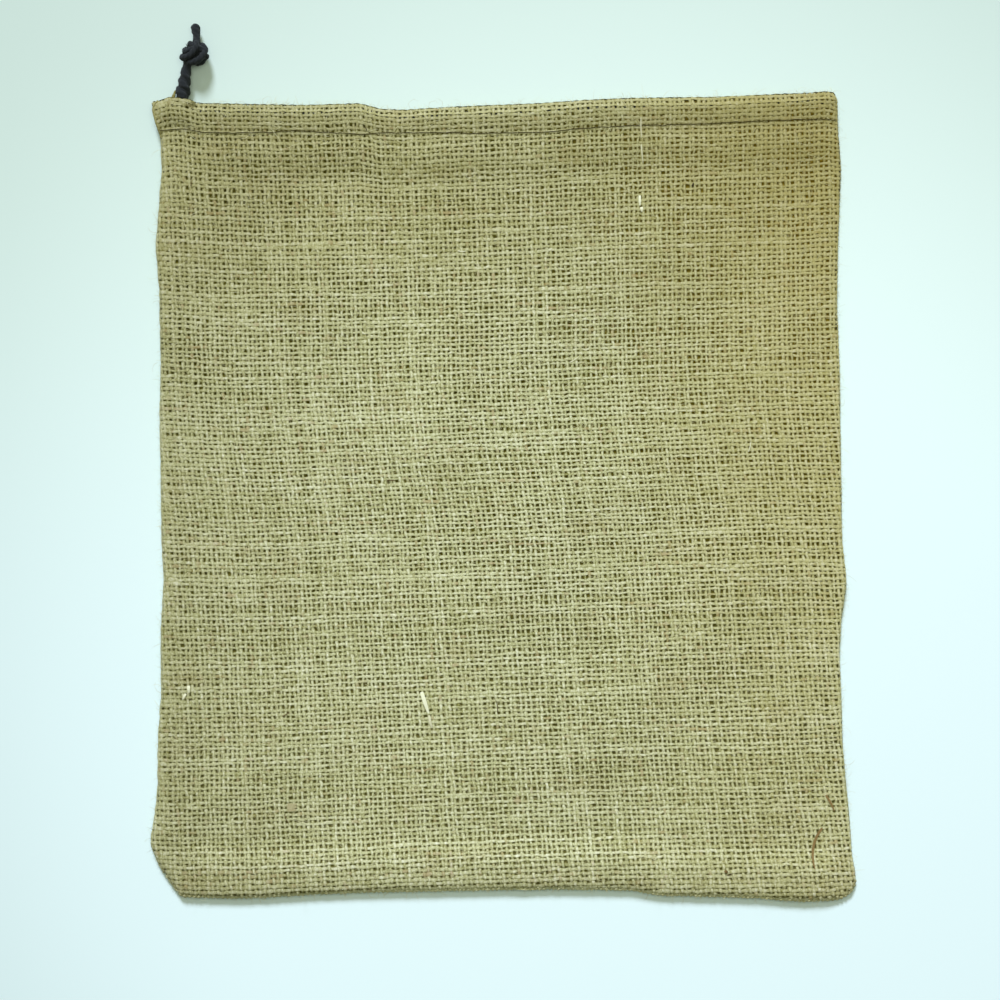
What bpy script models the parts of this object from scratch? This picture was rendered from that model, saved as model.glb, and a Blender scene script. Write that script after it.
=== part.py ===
# A drawstring sack of jute hessian, empty and lying flat on its back.
#
# One length of cloth is folded in half at the right edge and hemmed along the mouth. One seam runs down
# the left edge, cuts the lower left corner and follows the bottom, and its allowances lie inside. The
# side seam stops below the hem, whose turned-in layer stops short of the left edge, so one black cord
# goes in there, through the front channel, round the fold and back through the back channel. Its two
# ends leave the hem at the top left, twist round each other and are tied in one knot.
#
# Tables and sizes are in millimetres. +X is across to the fold, +Y is up to the mouth, +Z is up.

import math
from typing import NamedTuple

import bmesh
import bpy
from mathutils import Vector

MM = 0.001
GAP = 0.3  # between layers and between pieces

# The hessian.
CLOTH = 1.0
SEAM_RIM = 2.45  # height of the seam's edge line, half of the four layers stacked there
FOLD_RIM = 1.8  # outer radius of the fold at the right edge
LAYER_TOP = 4.9  # top of the front where it lies on the allowances
SAG_TOP = 2.9  # top of the front where it lies on the back
ALLOWANCE = 9.5  # width of the turned-in seam allowances
ALLOWANCE_THICK = 2.0
ALLOWANCE_END = 13.0  # how far short of the fold they stop
HOLLOW_RIM = 1.15  # half the height of the hollow at its seamed rim
HOLLOW_CORNER = 0.25  # share of it left at the fold
HOLLOW_END = 0.3  # share of the fold's inner reach left at the bottom
RIM_LOWERS_FROM = 0.93  # share of the width from which the seam's edge comes down to the fold's height
CORNER_ROOM = 20.0  # the allowances of two sides draw closer than this to share a corner

# The front comes down between two insets: off the allowances, off the hem and off the fold.
OFF_ALLOWANCE = (11.0, 27.0)
OFF_HEM = (18.5, 36.0)
OFF_FOLD = (1.0, 14.0)
CORNER_START = 3.0

# The bottom and the top edge shape the sheet beside them, less and less between two insets.
BOTTOM_PULL = (0.0, 60.0)
TOP_PULL = (12.0, 90.0)

# The hem, measured down from the mouth's edge.
HEM_STITCH = 12.5
HEM_RAW = 17.5
FRONT_CORD = 4.0
BACK_CORD = 9.2
CHANNEL = 4.3  # clear height of a channel at its cord
CHANNEL_HALF = 4.8  # from the cord's line to where the channel has closed
FOLD_CHANNEL = 4.4
FOLD_CHANNEL_HALF = 7.6
BELOW_CHANNEL = 26.0  # from here down the fold has its own radius again
SLIT = 0.15  # half the slit between the two hems
TURN_START = 1.6
MOUTH = 18.5  # how far the turned-in layer stops short of the left edge
WAY_OUT = 12.0  # up to here from the left edge the hem stands fully open
MOUTH_TOP = 8.0  # top of the front over the cord's way out
MOUTH_DEPTH = (9.0, 12.0)  # the way out ends between these insets
MOUTH_CURL = 0.6  # of the front's edge over the way out
DROOP = 1.4  # of the front's left edge beside the mouth
DROOP_WIDTH = 5.0
MOUTH_ROUND = 1.2  # how far the mouth's edge drops round the fold
MOUTH_ROUND_DEPTH = 8.0
BACK_MOUTH_LOWER = 0.8  # the back's mouth edge lies this much below the front's

# The cord.
CORD_RADIUS = 1.5
ROUTE_STEP = 20.0
TWIST_RADIUS = 1.7  # from the pair's middle to each strand's
TWIST_PITCH = 8.6
TWIST_STEPS = 12


class EdgePoint(NamedTuple):
    along: float
    place: float


# Up the sack, and how far across the edge lies.
LEFT_EDGE = [
    EdgePoint(along=-170.0, place=-150.9),
    EdgePoint(along=-164.0, place=-154.2),
    EdgePoint(along=-157.0, place=-157.2),
    EdgePoint(along=-152.5, place=-157.4),
    EdgePoint(along=-142.0, place=-155.6),
    EdgePoint(along=-129.0, place=-154.3),
    EdgePoint(along=-108.0, place=-154.3),
    EdgePoint(along=-90.0, place=-152.8),
    EdgePoint(along=-62.0, place=-153.0),
    EdgePoint(along=-37.0, place=-151.6),
    EdgePoint(along=-20.0, place=-152.6),
    EdgePoint(along=38.0, place=-153.4),
    EdgePoint(along=59.0, place=-153.0),
    EdgePoint(along=92.0, place=-153.6),
    EdgePoint(along=112.0, place=-155.2),
    EdgePoint(along=146.0, place=-152.5),
    EdgePoint(along=161.0, place=-152.9),
    EdgePoint(along=167.0, place=-154.8),
    EdgePoint(along=172.5, place=-156.2),
    EdgePoint(along=174.8, place=-155.6),
    EdgePoint(along=176.2, place=-153.9),
]
RIGHT_EDGE = [
    EdgePoint(along=-176.4, place=157.0),
    EdgePoint(along=-171.0, place=157.4),
    EdgePoint(along=-160.0, place=155.6),
    EdgePoint(along=-144.0, place=154.7),
    EdgePoint(along=-129.0, place=153.4),
    EdgePoint(along=-112.0, place=152.1),
    EdgePoint(along=-69.0, place=150.7),
    EdgePoint(along=-54.0, place=151.7),
    EdgePoint(along=-41.0, place=153.9),
    EdgePoint(along=-35.0, place=153.8),
    EdgePoint(along=-20.0, place=152.0),
    EdgePoint(along=20.0, place=151.2),
    EdgePoint(along=60.0, place=150.7),
    EdgePoint(along=86.0, place=149.4),
    EdgePoint(along=110.0, place=149.9),
    EdgePoint(along=146.0, place=151.1),
    EdgePoint(along=163.0, place=149.9),
    EdgePoint(along=179.8, place=149.4),
]
# Across the sack, and how far up the edge lies.
BOTTOM_EDGE = [
    EdgePoint(along=-150.9, place=-170.0),
    EdgePoint(along=-145.6, place=-177.0),
    EdgePoint(along=-136.0, place=-179.2),
    EdgePoint(along=-117.0, place=-179.8),
    EdgePoint(along=-99.0, place=-178.9),
    EdgePoint(along=-73.0, place=-177.5),
    EdgePoint(along=-20.0, place=-176.3),
    EdgePoint(along=26.0, place=-175.7),
    EdgePoint(along=57.0, place=-176.2),
    EdgePoint(along=71.0, place=-178.5),
    EdgePoint(along=106.0, place=-179.3),
    EdgePoint(along=133.0, place=-181.1),
    EdgePoint(along=148.0, place=-180.8),
    EdgePoint(along=154.0, place=-178.9),
    EdgePoint(along=157.0, place=-176.4),
]
TOP_EDGE = [
    EdgePoint(along=-153.9, place=176.2),
    EdgePoint(along=-148.5, place=177.9),
    EdgePoint(along=-143.0, place=177.5),
    EdgePoint(along=-135.0, place=175.8),
    EdgePoint(along=-88.0, place=174.9),
    EdgePoint(along=-64.0, place=175.7),
    EdgePoint(along=-54.0, place=173.1),
    EdgePoint(along=-44.0, place=172.7),
    EdgePoint(along=-26.0, place=174.0),
    EdgePoint(along=17.0, place=175.7),
    EdgePoint(along=35.0, place=177.1),
    EdgePoint(along=55.0, place=178.0),
    EdgePoint(along=92.0, place=178.5),
    EdgePoint(along=133.0, place=180.2),
    EdgePoint(along=146.0, place=181.1),
    EdgePoint(along=149.4, place=179.8),
]

# Where the sections lie: across the sack, and up it.
COLUMNS = [-122, -104, -82, -57, -47, -37, -18, 4, 26, 45, 57, 71, 90, 108, 126]
ROWS = [-146, -130, -110, -88, -64, -48, -37, -24, 0, 30, 60, 88, 110, 128, 144]
BELOW_HEM = 24.0
HEM_ROWS = [17.5, 14.5, 12.5, 11.0, 9.2, 7.4, 5.6, 4.0, 2.7]
TURN_ANGLES = [0, 45, 90, 135, 180]


class EdgeStep(NamedTuple):
    outside: float  # inset of the outer skin from the edge
    inside: float  # inset of the inner skin
    round_off: float  # how much of its full height the inner skin has there


EDGE_STEPS = [
    EdgeStep(outside=0.0, inside=1.4, round_off=0.0),
    EdgeStep(outside=0.5, inside=1.7, round_off=0.6),
    EdgeStep(outside=1.4, inside=2.1, round_off=1.0),
    EdgeStep(outside=2.7, inside=3.0, round_off=1.0),
    EdgeStep(outside=12.0, inside=12.0, round_off=1.0),
    EdgeStep(outside=18.5, inside=18.5, round_off=1.0),
]
FOLD_STEPS = [14.0, 6.0, 0.0]  # insets from the fold's axis
FOLD_ANGLES = [60, 30, 0, -30, -60]


class Wave(NamedTuple):
    across: float
    up: float
    phase: float
    height: float


WAVES = [
    Wave(across=190.0, up=240.0, phase=0.6, height=0.30),
    Wave(across=-120.0, up=95.0, phase=2.1, height=0.22),
    Wave(across=75.0, up=-160.0, phase=4.0, height=0.16),
]


class RoutePoint(NamedTuple):
    across: float
    up: float
    height: float


# The cord's middle line from where its first strand leaves the twist, round to where its second joins it.
ROUTE = [
    RoutePoint(across=-142.7, up=179.6, height=4.1),
    RoutePoint(across=-142.5, up=177.2, height=4.2),
    RoutePoint(across=-141.5, up=174.4, height=4.7),
    RoutePoint(across=-138.6, up=172.3, height=5.4),
    RoutePoint(across=-134.0, up=171.8, height=5.65),
    RoutePoint(across=-120.0, up=171.5, height=5.65),
    RoutePoint(across=-88.0, up=170.9, height=5.65),
    RoutePoint(across=-64.0, up=171.7, height=5.65),
    RoutePoint(across=-54.0, up=169.2, height=5.65),
    RoutePoint(across=-44.0, up=168.7, height=5.65),
    RoutePoint(across=-26.0, up=170.0, height=5.65),
    RoutePoint(across=17.0, up=171.7, height=5.65),
    RoutePoint(across=35.0, up=173.1, height=5.65),
    RoutePoint(across=55.0, up=173.9, height=5.65),
    RoutePoint(across=92.0, up=174.5, height=5.65),
    RoutePoint(across=125.0, up=175.8, height=5.65),
    RoutePoint(across=138.0, up=176.5, height=5.65),
    RoutePoint(across=143.9, up=176.8, height=5.65),
    RoutePoint(across=145.9, up=176.0, height=5.2),
    RoutePoint(across=146.6, up=174.2, height=4.3),
    RoutePoint(across=145.9, up=172.4, height=3.4),
    RoutePoint(across=143.9, up=171.6, height=3.0),
    RoutePoint(across=138.0, up=171.3, height=3.0),
    RoutePoint(across=125.0, up=170.5, height=3.0),
    RoutePoint(across=92.0, up=169.2, height=3.0),
    RoutePoint(across=55.0, up=168.7, height=3.0),
    RoutePoint(across=35.0, up=167.8, height=3.0),
    RoutePoint(across=17.0, up=166.5, height=3.0),
    RoutePoint(across=-26.0, up=164.8, height=3.0),
    RoutePoint(across=-44.0, up=163.5, height=3.0),
    RoutePoint(across=-54.0, up=164.0, height=3.0),
    RoutePoint(across=-64.0, up=166.4, height=3.0),
    RoutePoint(across=-88.0, up=165.8, height=3.0),
    RoutePoint(across=-120.0, up=166.4, height=3.0),
    RoutePoint(across=-140.0, up=166.9, height=3.0),
    RoutePoint(across=-144.6, up=167.6, height=3.0),
    RoutePoint(across=-147.3, up=170.7, height=3.4),
    RoutePoint(across=-147.9, up=175.0, height=3.8),
    RoutePoint(across=-147.3, up=179.0, height=4.1),
]
TWIST_START = Vector((-144.6, 181.4, 4.2))
TWIST_END = Vector((-141.0, 191.9, 4.7))
KNOT_CENTRE = Vector((-137.7, 197.5, 4.9))
END_ROUTE = [
    RoutePoint(across=-136.7, up=203.3, height=4.8),
    RoutePoint(across=-137.0, up=205.6, height=4.4),
    RoutePoint(across=-137.6, up=208.0, height=3.9),
    RoutePoint(across=-138.0, up=210.4, height=3.4),
]
END_STEPS = [2, 2, 2]
END_RADII = [1, 1, 1, 1, 1.05, 1.1, 1.08]  # shares of the cord's radius, with the swollen tip last
SHARP_ANGLE = math.radians(40)


class Lobe(NamedTuple):
    across: float
    up: float
    height: float
    size: float


KNOT_SIZE = Vector((5.3, 5.0, 4.7))
RIDGE_HEIGHT = 0.05  # share of the knot's size
RIDGES = 3
RIDGE_LEAN = 0.5
LOBE_SHARPNESS = 14
KNOT_LOBES = [
    Lobe(across=-0.95, up=-0.15, height=0.1, size=1.3),
    Lobe(across=0.98, up=-0.1, height=-0.1, size=1.5),
    Lobe(across=-0.45, up=0.85, height=0.2, size=0.9),
    Lobe(across=0.5, up=-0.7, height=0.4, size=0.5),
]


def smooth(x):
    x = min(max(x, 0.0), 1.0)
    return x * x * (3 - 2 * x)


def fade(distance, near, far):
    """1 up to near, 0 from far on."""
    return 1 - smooth((distance - near) / (far - near))


def mix(a, b, share):
    return a + (b - a) * share


def edge_at(edge, along):
    """The edge's place there, on straight lines between its points."""
    along = min(max(along, edge[0].along), edge[-1].along)
    for a, b in zip(edge, edge[1:], strict=False):
        if along <= b.along:
            return mix(a.place, b.place, (along - a.along) / (b.along - a.along))
    return edge[-1].place


def bump(distance, half_width):
    return math.cos(math.pi / 2 * min(abs(distance) / half_width, 1.0)) ** 2


def channel(inset, cord):
    """Clear height of a channel at this inset from the mouth."""
    return GAP + (CHANNEL - GAP) * bump(inset - cord, CHANNEL_HALF)


class Place(NamedTuple):
    """A place in the sack's plane as insets from its four edges, in millimetres."""

    left: float
    fold: float
    bottom: float
    top: float


WIDTH = BOTTOM_EDGE[-1].along - BOTTOM_EDGE[0].along
HEIGHT = TOP_EDGE[-1].place - BOTTOM_EDGE[-1].place


def plan(u, v, fold_inset):
    """Across and up at shares u and v of the width and height. The right edge is taken fold_inset in."""
    left_up = mix(LEFT_EDGE[0].along, LEFT_EDGE[-1].along, v)
    left = Vector((edge_at(LEFT_EDGE, left_up), left_up))
    right_up = mix(RIGHT_EDGE[0].along, RIGHT_EDGE[-1].along, v)
    right = Vector((edge_at(RIGHT_EDGE, right_up) - fold_inset, right_up))
    point = left.lerp(right, u)
    corners = [LEFT_EDGE[0], LEFT_EDGE[-1], RIGHT_EDGE[0], RIGHT_EDGE[-1]]
    bottom_left, top_left, bottom_right, top_right = [Vector((c.place, c.along)) for c in corners]
    # The bottom and top edges pull the sheet to themselves, less and less over the first part of it.
    for edge, first, last, pull in [
        (BOTTOM_EDGE, bottom_left, bottom_right, fade(v * HEIGHT, *BOTTOM_PULL)),
        (TOP_EDGE, top_left, top_right, fade((1 - v) * HEIGHT, *TOP_PULL)),
    ]:
        straight = mix(first.y, last.y, u)
        point.y += (edge_at(edge, point.x) - straight) * pull
    return point


def waves(across, up):
    total = 0.0
    for wave in WAVES:
        turn = across / wave.across + up / wave.up
        total += wave.height * math.cos(2 * math.pi * turn + wave.phase)
    return total


def front_top(place, point):
    """Height of the front's upper side, away from the rounding of its edges."""
    sag = SAG_TOP + waves(point.x, point.y)
    sag = mix(sag, 2 * FOLD_RIM, fade(place.fold, *OFF_FOLD))
    over_left = fade(place.left, *OFF_ALLOWANCE)
    over_bottom = fade(place.bottom, *OFF_ALLOWANCE) * (1 - fade(place.fold, CORNER_START, ALLOWANCE_END))
    over_hem = fade(place.top, *OFF_HEM)
    lifted = 1 - (1 - over_left) * (1 - over_bottom) * (1 - over_hem)
    top = mix(sag, LAYER_TOP, lifted)
    if place.top < OFF_HEM[0]:
        # The front lies across both cords, with no dip between them.
        beyond = max(FRONT_CORD - place.top, place.top - BACK_CORD, 0.0)
        top = LAYER_TOP + (CHANNEL - GAP) * bump(beyond, CHANNEL_HALF)
        in_mouth = fade(place.top, *MOUTH_DEPTH)
        top = mix(top, MOUTH_TOP, fade(place.left, WAY_OUT, MOUTH) * in_mouth)
        top -= DROOP * fade(place.left, 0, DROOP_WIDTH) * in_mouth
    return top


def quarter(distance, radius):
    """Share of the full height of a rounded edge, this far in from it."""
    reach = min(distance / radius, 1.0)
    return math.sqrt(1 - (1 - reach) ** 2)


def fold_channel(inset):
    return GAP + (FOLD_CHANNEL - GAP) * bump(inset - (FRONT_CORD + BACK_CORD) / 2, FOLD_CHANNEL_HALF)


def fold_reach(inset):
    """How far the outer skin reaches past the fold's axis, at this inset from the mouth."""
    hem = SLIT + 2 * CLOTH + fold_channel(inset)
    return mix(FOLD_RIM, hem, fade(inset, HEM_RAW, BELOW_CHANNEL))


class Row(NamedTuple):
    """One section across the sack. part is body, hem (the outer layer), turn or turned_in."""

    part: str
    outer_inset: float  # from the mouth
    inner_inset: float
    bottom: float  # from the bottom's rim
    round_off: float
    angle: float


def sack_rows():
    rows = []
    for outside, inside, round_off in EDGE_STEPS:
        rows.append(Row("body", HEIGHT - outside, HEIGHT - inside, outside, round_off, 0))
    for up in ROWS:
        bottom = up - BOTTOM_EDGE[-1].place
        rows.append(Row("body", HEIGHT - bottom, HEIGHT - bottom, bottom, 1, 0))
    for inset in [BELOW_HEM, *HEM_ROWS]:
        part = "body" if inset > HEM_STITCH else "hem"
        rows.append(Row(part, inset, inset, HEIGHT - inset, 1, 0))
    for angle in TURN_ANGLES:
        rows.append(Row("turn", 0, 0, HEIGHT, 1, math.radians(angle)))
    for inset in reversed(HEM_ROWS):
        rows.append(Row("turned_in", inset, inset, HEIGHT - inset, 1, 0))
    return rows


class Column(NamedTuple):
    """One section up the sack. angle goes from 90 degrees on the front to -90 on the back."""

    left: float
    inner_left: float
    round_off: float
    share: float
    angle: float


def sack_columns():
    front = []
    for step in EDGE_STEPS:
        share = step.outside / WIDTH
        front.append(Column(step.outside, step.inside, step.round_off, share, 90))
    for across in COLUMNS:
        left = across - BOTTOM_EDGE[0].along
        front.append(Column(left, left, 1, left / WIDTH, 90))
    for inset in FOLD_STEPS:
        left = WIDTH - inset
        front.append(Column(left, left, 1, left / WIDTH, 90))
    fold = [Column(WIDTH, WIDTH, 1, 1, angle) for angle in FOLD_ANGLES]
    back = [column._replace(angle=-90) for column in reversed(front)]
    return front + fold + back


def rim_height(share):
    """Height of the seam's edge line, lower towards the fold."""
    return mix(SEAM_RIM, FOLD_RIM, smooth((share - RIM_LOWERS_FROM) / (1 - RIM_LOWERS_FROM)))


def turn_radius(front):
    """Outer radius of the hem's turn at the mouth's edge."""
    return CLOTH + channel(TURN_START, FRONT_CORD if front else BACK_CORD) / 2


def hem_heights(row, column, front):
    """Heights of the outer and the inner skin of this row in the hem, front or back."""
    inset = row.outer_inset
    back_channel = channel(inset, BACK_CORD)
    if front:
        inner_under = 2 * CLOTH + back_channel + 2 * SLIT
    else:
        inner_under = CLOTH + back_channel
    if row.part == "turned_in":
        inner_top = inner_under + CLOTH
        return (inner_under, inner_top) if front else (inner_top, inner_under)
    radius = turn_radius(front)
    low = 2 * CLOTH + channel(TURN_START, BACK_CORD) + 2 * SLIT if front else 0.0
    centre = low + radius
    sign = 1 if front else -1
    outer = centre + sign * radius * math.cos(row.angle)
    inner = centre + sign * (radius - CLOTH) * math.cos(row.angle)
    way_out = fade(column.left, WAY_OUT, MOUTH)
    if front:
        open_top = MOUTH_TOP - GAP - MOUTH_CURL * (1 - math.cos(row.angle))
        open_top -= DROOP * fade(column.left, 0, DROOP_WIDTH)
        return mix(outer, open_top, way_out), mix(inner, open_top - CLOTH, way_out)
    return mix(outer, 0.0, way_out), mix(inner, CLOTH, way_out)


def skins_at(row, column, front):
    """Plan point and height of the outer and the inner skin, front or back."""
    inset_out, inset_in = row.outer_inset, row.inner_inset
    if row.part == "turn":
        radius = turn_radius(front)
        inset_out = radius * (1 - math.sin(row.angle))
        inset_in = radius - (radius - CLOTH) * math.sin(row.angle)
        inset_in = mix(inset_in, inset_out, fade(column.left, WAY_OUT, MOUTH))
    lower = 0.0 if front else BACK_MOUTH_LOWER
    closed = row.part == "body"
    inner_left = column.inner_left if closed else column.left
    found = []
    for inset, left in [(inset_out, column.left), (inset_in, inner_left)]:
        point = plan(left / WIDTH, 1 - inset / HEIGHT, fold_reach(max(inset, 0)))
        point.y -= lower * fade(inset, 0, HEM_STITCH)
        found.append(point)
    outer_point, inner_point = found
    place = Place(column.left, WIDTH - column.left, row.bottom, inset_out)
    if row.part in ("body", "hem"):
        top = front_top(place, outer_point)
        outer, inner = (top, top - CLOTH) if front else (0.0, CLOTH)
    else:
        outer, inner = hem_heights(row, column, front)
    if closed:
        rim = rim_height(column.share)
        share = quarter(column.left, SEAM_RIM) * quarter(row.bottom, rim)
        outer = mix(rim, outer, share)
        hollow = HOLLOW_RIM * rim_taper(column)
        inner_share = column.round_off * row.round_off
        inner = mix(rim + (hollow if front else -hollow), inner, inner_share)
    return outer_point, outer, inner_point, inner


def rim_taper(column):
    """The hollow's rim closes towards the corner at the fold."""
    return mix(HOLLOW_CORNER, 1.0, smooth((WIDTH - column.left) / FOLD_STEPS[0]))


def skin_points(row, column):
    """The outer and the inner skin's points of one row and column."""
    front = skins_at(row, column, True)
    back = skins_at(row, column, False)
    turn = math.radians(column.angle)
    share = (1 - math.sin(turn)) / 2
    reach = fold_reach(row.outer_inset)
    fold_skins = (reach, reach - CLOTH)
    if row.part == "turned_in":
        fold_skins = (SLIT, SLIT + CLOTH)
    if row.part == "turn":
        outer_reach = fold_reach(0)
        radius = (outer_reach - SLIT) / 2
        middle = SLIT + radius
        fold_skins = (
            middle + radius * math.cos(row.angle),
            middle + (radius - CLOTH) * math.cos(row.angle),
        )
    if row.part == "body":
        close = quarter(row.bottom, FOLD_RIM)
        fold_skins = (fold_skins[0] * close, fold_skins[1] * mix(HOLLOW_END, 1.0, row.round_off))
    points = []
    for index, reach_out in enumerate(fold_skins):
        front_point, front_height = front[2 * index], front[2 * index + 1]
        back_point, back_height = back[2 * index], back[2 * index + 1]
        point = front_point.lerp(back_point, share)
        point.y -= MOUTH_ROUND * math.cos(turn) ** 2 * fade(row.outer_inset, 0, MOUTH_ROUND_DEPTH)
        half = (front_height - back_height) / 2
        height = (front_height + back_height) / 2 + half * math.sin(turn)
        across = point.x + reach_out * math.cos(turn)
        points.append(Vector((across, point.y, height)))
    return points


class Sheet:
    """The cloth's mesh: an outer and an inner skin over the same rows and columns."""

    def __init__(self):
        self.mesh = bmesh.new()
        self.rows = sack_rows()
        self.columns = sack_columns()
        self.outer = []
        self.inner = []
        for column in self.columns:
            pairs = [skin_points(row, column) for row in self.rows]
            self.outer.append([self.mesh.verts.new(pair[0]) for pair in pairs])
            self.inner.append([self.mesh.verts.new(pair[1]) for pair in pairs])

    def index_of(self, part, first=True):
        found = [k for k, row in enumerate(self.rows) if row.part == part]
        return found[0] if first else found[-1]

    def face(self, *corners):
        different = list(dict.fromkeys(corners))
        if len(different) > 2:
            self.mesh.faces.new(different)

    def whole(self, column, row):
        """Whether the cell from this column and row to the next is cloth."""
        rim = self.index_of("turn") + 2
        ends = [self.columns[column], self.columns[column + 1]]
        cut = min(c.left for c in ends) < MOUTH
        return not (row >= rim and cut)

    def skins(self):
        for c in range(len(self.columns) - 1):
            for r in range(len(self.rows) - 1):
                if not self.whole(c, r):
                    continue
                for skin, turned in [(self.outer, False), (self.inner, True)]:
                    corners = [skin[c][r], skin[c + 1][r], skin[c + 1][r + 1], skin[c][r + 1]]
                    self.face(*(reversed(corners) if turned else corners))

    def raw_edges(self):
        """A wall between the skins wherever the cloth ends, but for the seamed left and bottom."""
        last_column, last_row = len(self.columns) - 1, len(self.rows) - 1
        first_open = self.index_of("body", first=False)
        for c in range(last_column):
            for r in range(last_row):
                if not self.whole(c, r):
                    continue
                open_side = r >= first_open
                if open_side if c == 0 else not self.whole(c - 1, r):
                    self.wall((c, r + 1), (c, r))
                if open_side if c == last_column - 1 else not self.whole(c + 1, r):
                    self.wall((c + 1, r), (c + 1, r + 1))
                if r == last_row - 1 or not self.whole(c, r + 1):
                    self.wall((c + 1, r + 1), (c, r + 1))

    def wall(self, start, end):
        a, b = self.outer[start[0]][start[1]], self.outer[end[0]][end[1]]
        c, d = self.inner[end[0]][end[1]], self.inner[start[0]][start[1]]
        self.face(b, a, d, c)

    def allowances(self):
        """The seam's allowances, which stand inwards from the hollow's rim along the left and the bottom."""
        last = len(self.columns) - 1
        seam_top = self.index_of("body", first=False)
        front_columns = [c for c, column in enumerate(self.columns) if column.angle == 90]
        rim = [(0, r) for r in range(seam_top, 0, -1)] + [(c, 0) for c in front_columns]
        # Each station has the hollow's front and back rim, with the allowance's root and end between.
        stations = []
        for c, r in rim:
            front, back = self.inner[c][r], self.inner[last - c][r]
            column, row = self.columns[c], self.rows[r]
            sewn = column.left < WIDTH - ALLOWANCE_END
            stations.append((front, back, self.allowance_at(front, back, column, row) if sewn else None))
        for a, b in zip(stations, stations[1:], strict=False):
            if a[2] and b[2]:
                ring_a = [a[0], *a[2], a[1]]
                ring_b = [b[0], *b[2], b[1]]
                for k in range(len(ring_a) - 1):
                    self.face(ring_a[k], ring_a[k + 1], ring_b[k + 1], ring_b[k])
            elif a[2]:
                self.face(a[0], a[2][0], a[2][3], a[1], b[1], b[0])
                self.face(*reversed(a[2]))
            else:
                self.face(a[0], a[1], b[1], b[0])
        top = stations[0]
        self.face(self.outer[0][seam_top], top[1], top[2][3], top[2][0], top[0])
        self.face(*top[2])
        corner = [self.inner[c][0] for c in range(front_columns[-1], last - front_columns[-1] + 1)]
        self.face(*corner)

    def allowance_at(self, front, back, column, row):
        """Root and end of the allowance at one place on the rim, from the front's side to the back's."""
        middle = (front.co + back.co) / 2
        half = ALLOWANCE_THICK / 2
        left, bottom = column.left, row.bottom
        # Near the corner the allowances of the two sides share the room, as when it is cut away there.
        squeeze = ALLOWANCE / CORNER_ROOM
        if column.left == 0:
            left = ALLOWANCE
            bottom = max(bottom, ALLOWANCE + bottom * (1 - squeeze))
        else:
            bottom = ALLOWANCE
            left = max(left, ALLOWANCE + left * (1 - squeeze))
        left = min(left, WIDTH - ALLOWANCE_END)
        end = plan(left / WIDTH, bottom / HEIGHT, FOLD_RIM)
        if row.outer_inset < HEM_RAW:
            end.y = front.co.y
        found = []
        for x, y, height in [
            (middle.x, middle.y, half),
            (end.x, end.y, half),
            (end.x, end.y, -half),
            (middle.x, middle.y, -half),
        ]:
            found.append(self.mesh.verts.new((x, y, middle.z + height)))
        return found

    def finish(self, name):
        self.skins()
        self.raw_edges()
        self.allowances()
        bmesh.ops.remove_doubles(self.mesh, verts=self.mesh.verts, dist=0.002)
        bmesh.ops.triangulate(self.mesh, faces=self.mesh.faces)
        bmesh.ops.recalc_face_normals(self.mesh, faces=self.mesh.faces)
        return mesh_object(name, self.mesh)


def mesh_object(name, mesh):
    """An object in metres from a bmesh in millimetres."""
    bmesh.ops.scale(mesh, vec=(MM, MM, MM), verts=mesh.verts)
    data = bpy.data.meshes.new(name)
    mesh.to_mesh(data)
    mesh.free()
    data.shade_smooth()
    data.set_sharp_from_angle(angle=SHARP_ANGLE)
    made = bpy.data.objects.new(name, data)
    bpy.context.collection.objects.link(made)
    return made


def smooth_curve(route, steps):
    """Points on a smooth curve through the route's own points."""
    points = [Vector(p) for p in route]
    ends = [2 * points[0] - points[1], *points, 2 * points[-1] - points[-2]]
    found = [points[0]]
    for k, count in enumerate(steps):
        a, b, c, d = ends[k : k + 4]
        for n in range(1, count + 1):
            t = n / count
            found.append(
                0.5
                * (
                    2 * b
                    + (c - a) * t
                    + (2 * a - 5 * b + 4 * c - d) * t * t
                    + (3 * b - a - 3 * c + d) * t**3
                )
            )
    return found


def twist(phase):
    """One strand of the twisted pair, from the hem to the knot, as a left-handed helix."""
    axis = TWIST_END - TWIST_START
    side = Vector((axis.y, -axis.x, 0)).normalized()
    up = side.cross(axis.normalized())
    turns = axis.length / TWIST_PITCH
    points = []
    for n in range(TWIST_STEPS + 1):
        share = n / TWIST_STEPS
        angle = phase + 2 * math.pi * turns * share
        away = math.cos(angle) * side + math.sin(angle) * up
        points.append(TWIST_START + axis * share + TWIST_RADIUS * away)
    return points


def cord(name, points, radii=None):
    data = bpy.data.curves.new(name, "CURVE")
    data.dimensions = "3D"
    data.bevel_depth = CORD_RADIUS * MM
    data.bevel_resolution = 2
    data.resolution_u = 1
    data.use_fill_caps = True
    line = data.splines.new("POLY")
    line.points.add(len(points) - 1)
    for index, point in enumerate(points):
        line.points[index].co = (*(point * MM), 1)
        line.points[index].radius = radii[index] if radii else 1
    made = bpy.data.objects.new(name, data)
    bpy.context.collection.objects.link(made)
    return made


def drawcord():
    steps = []
    for a, b in zip(ROUTE, ROUTE[1:], strict=False):
        length = (Vector(b) - Vector(a)).length
        steps.append(max(1, round(length / ROUTE_STEP)))
    first = twist(phase=0.0)
    second = twist(phase=math.pi)
    held = smooth_curve(ROUTE, steps)
    return cord("drawcord", [*reversed(first), *held, *second])


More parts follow.
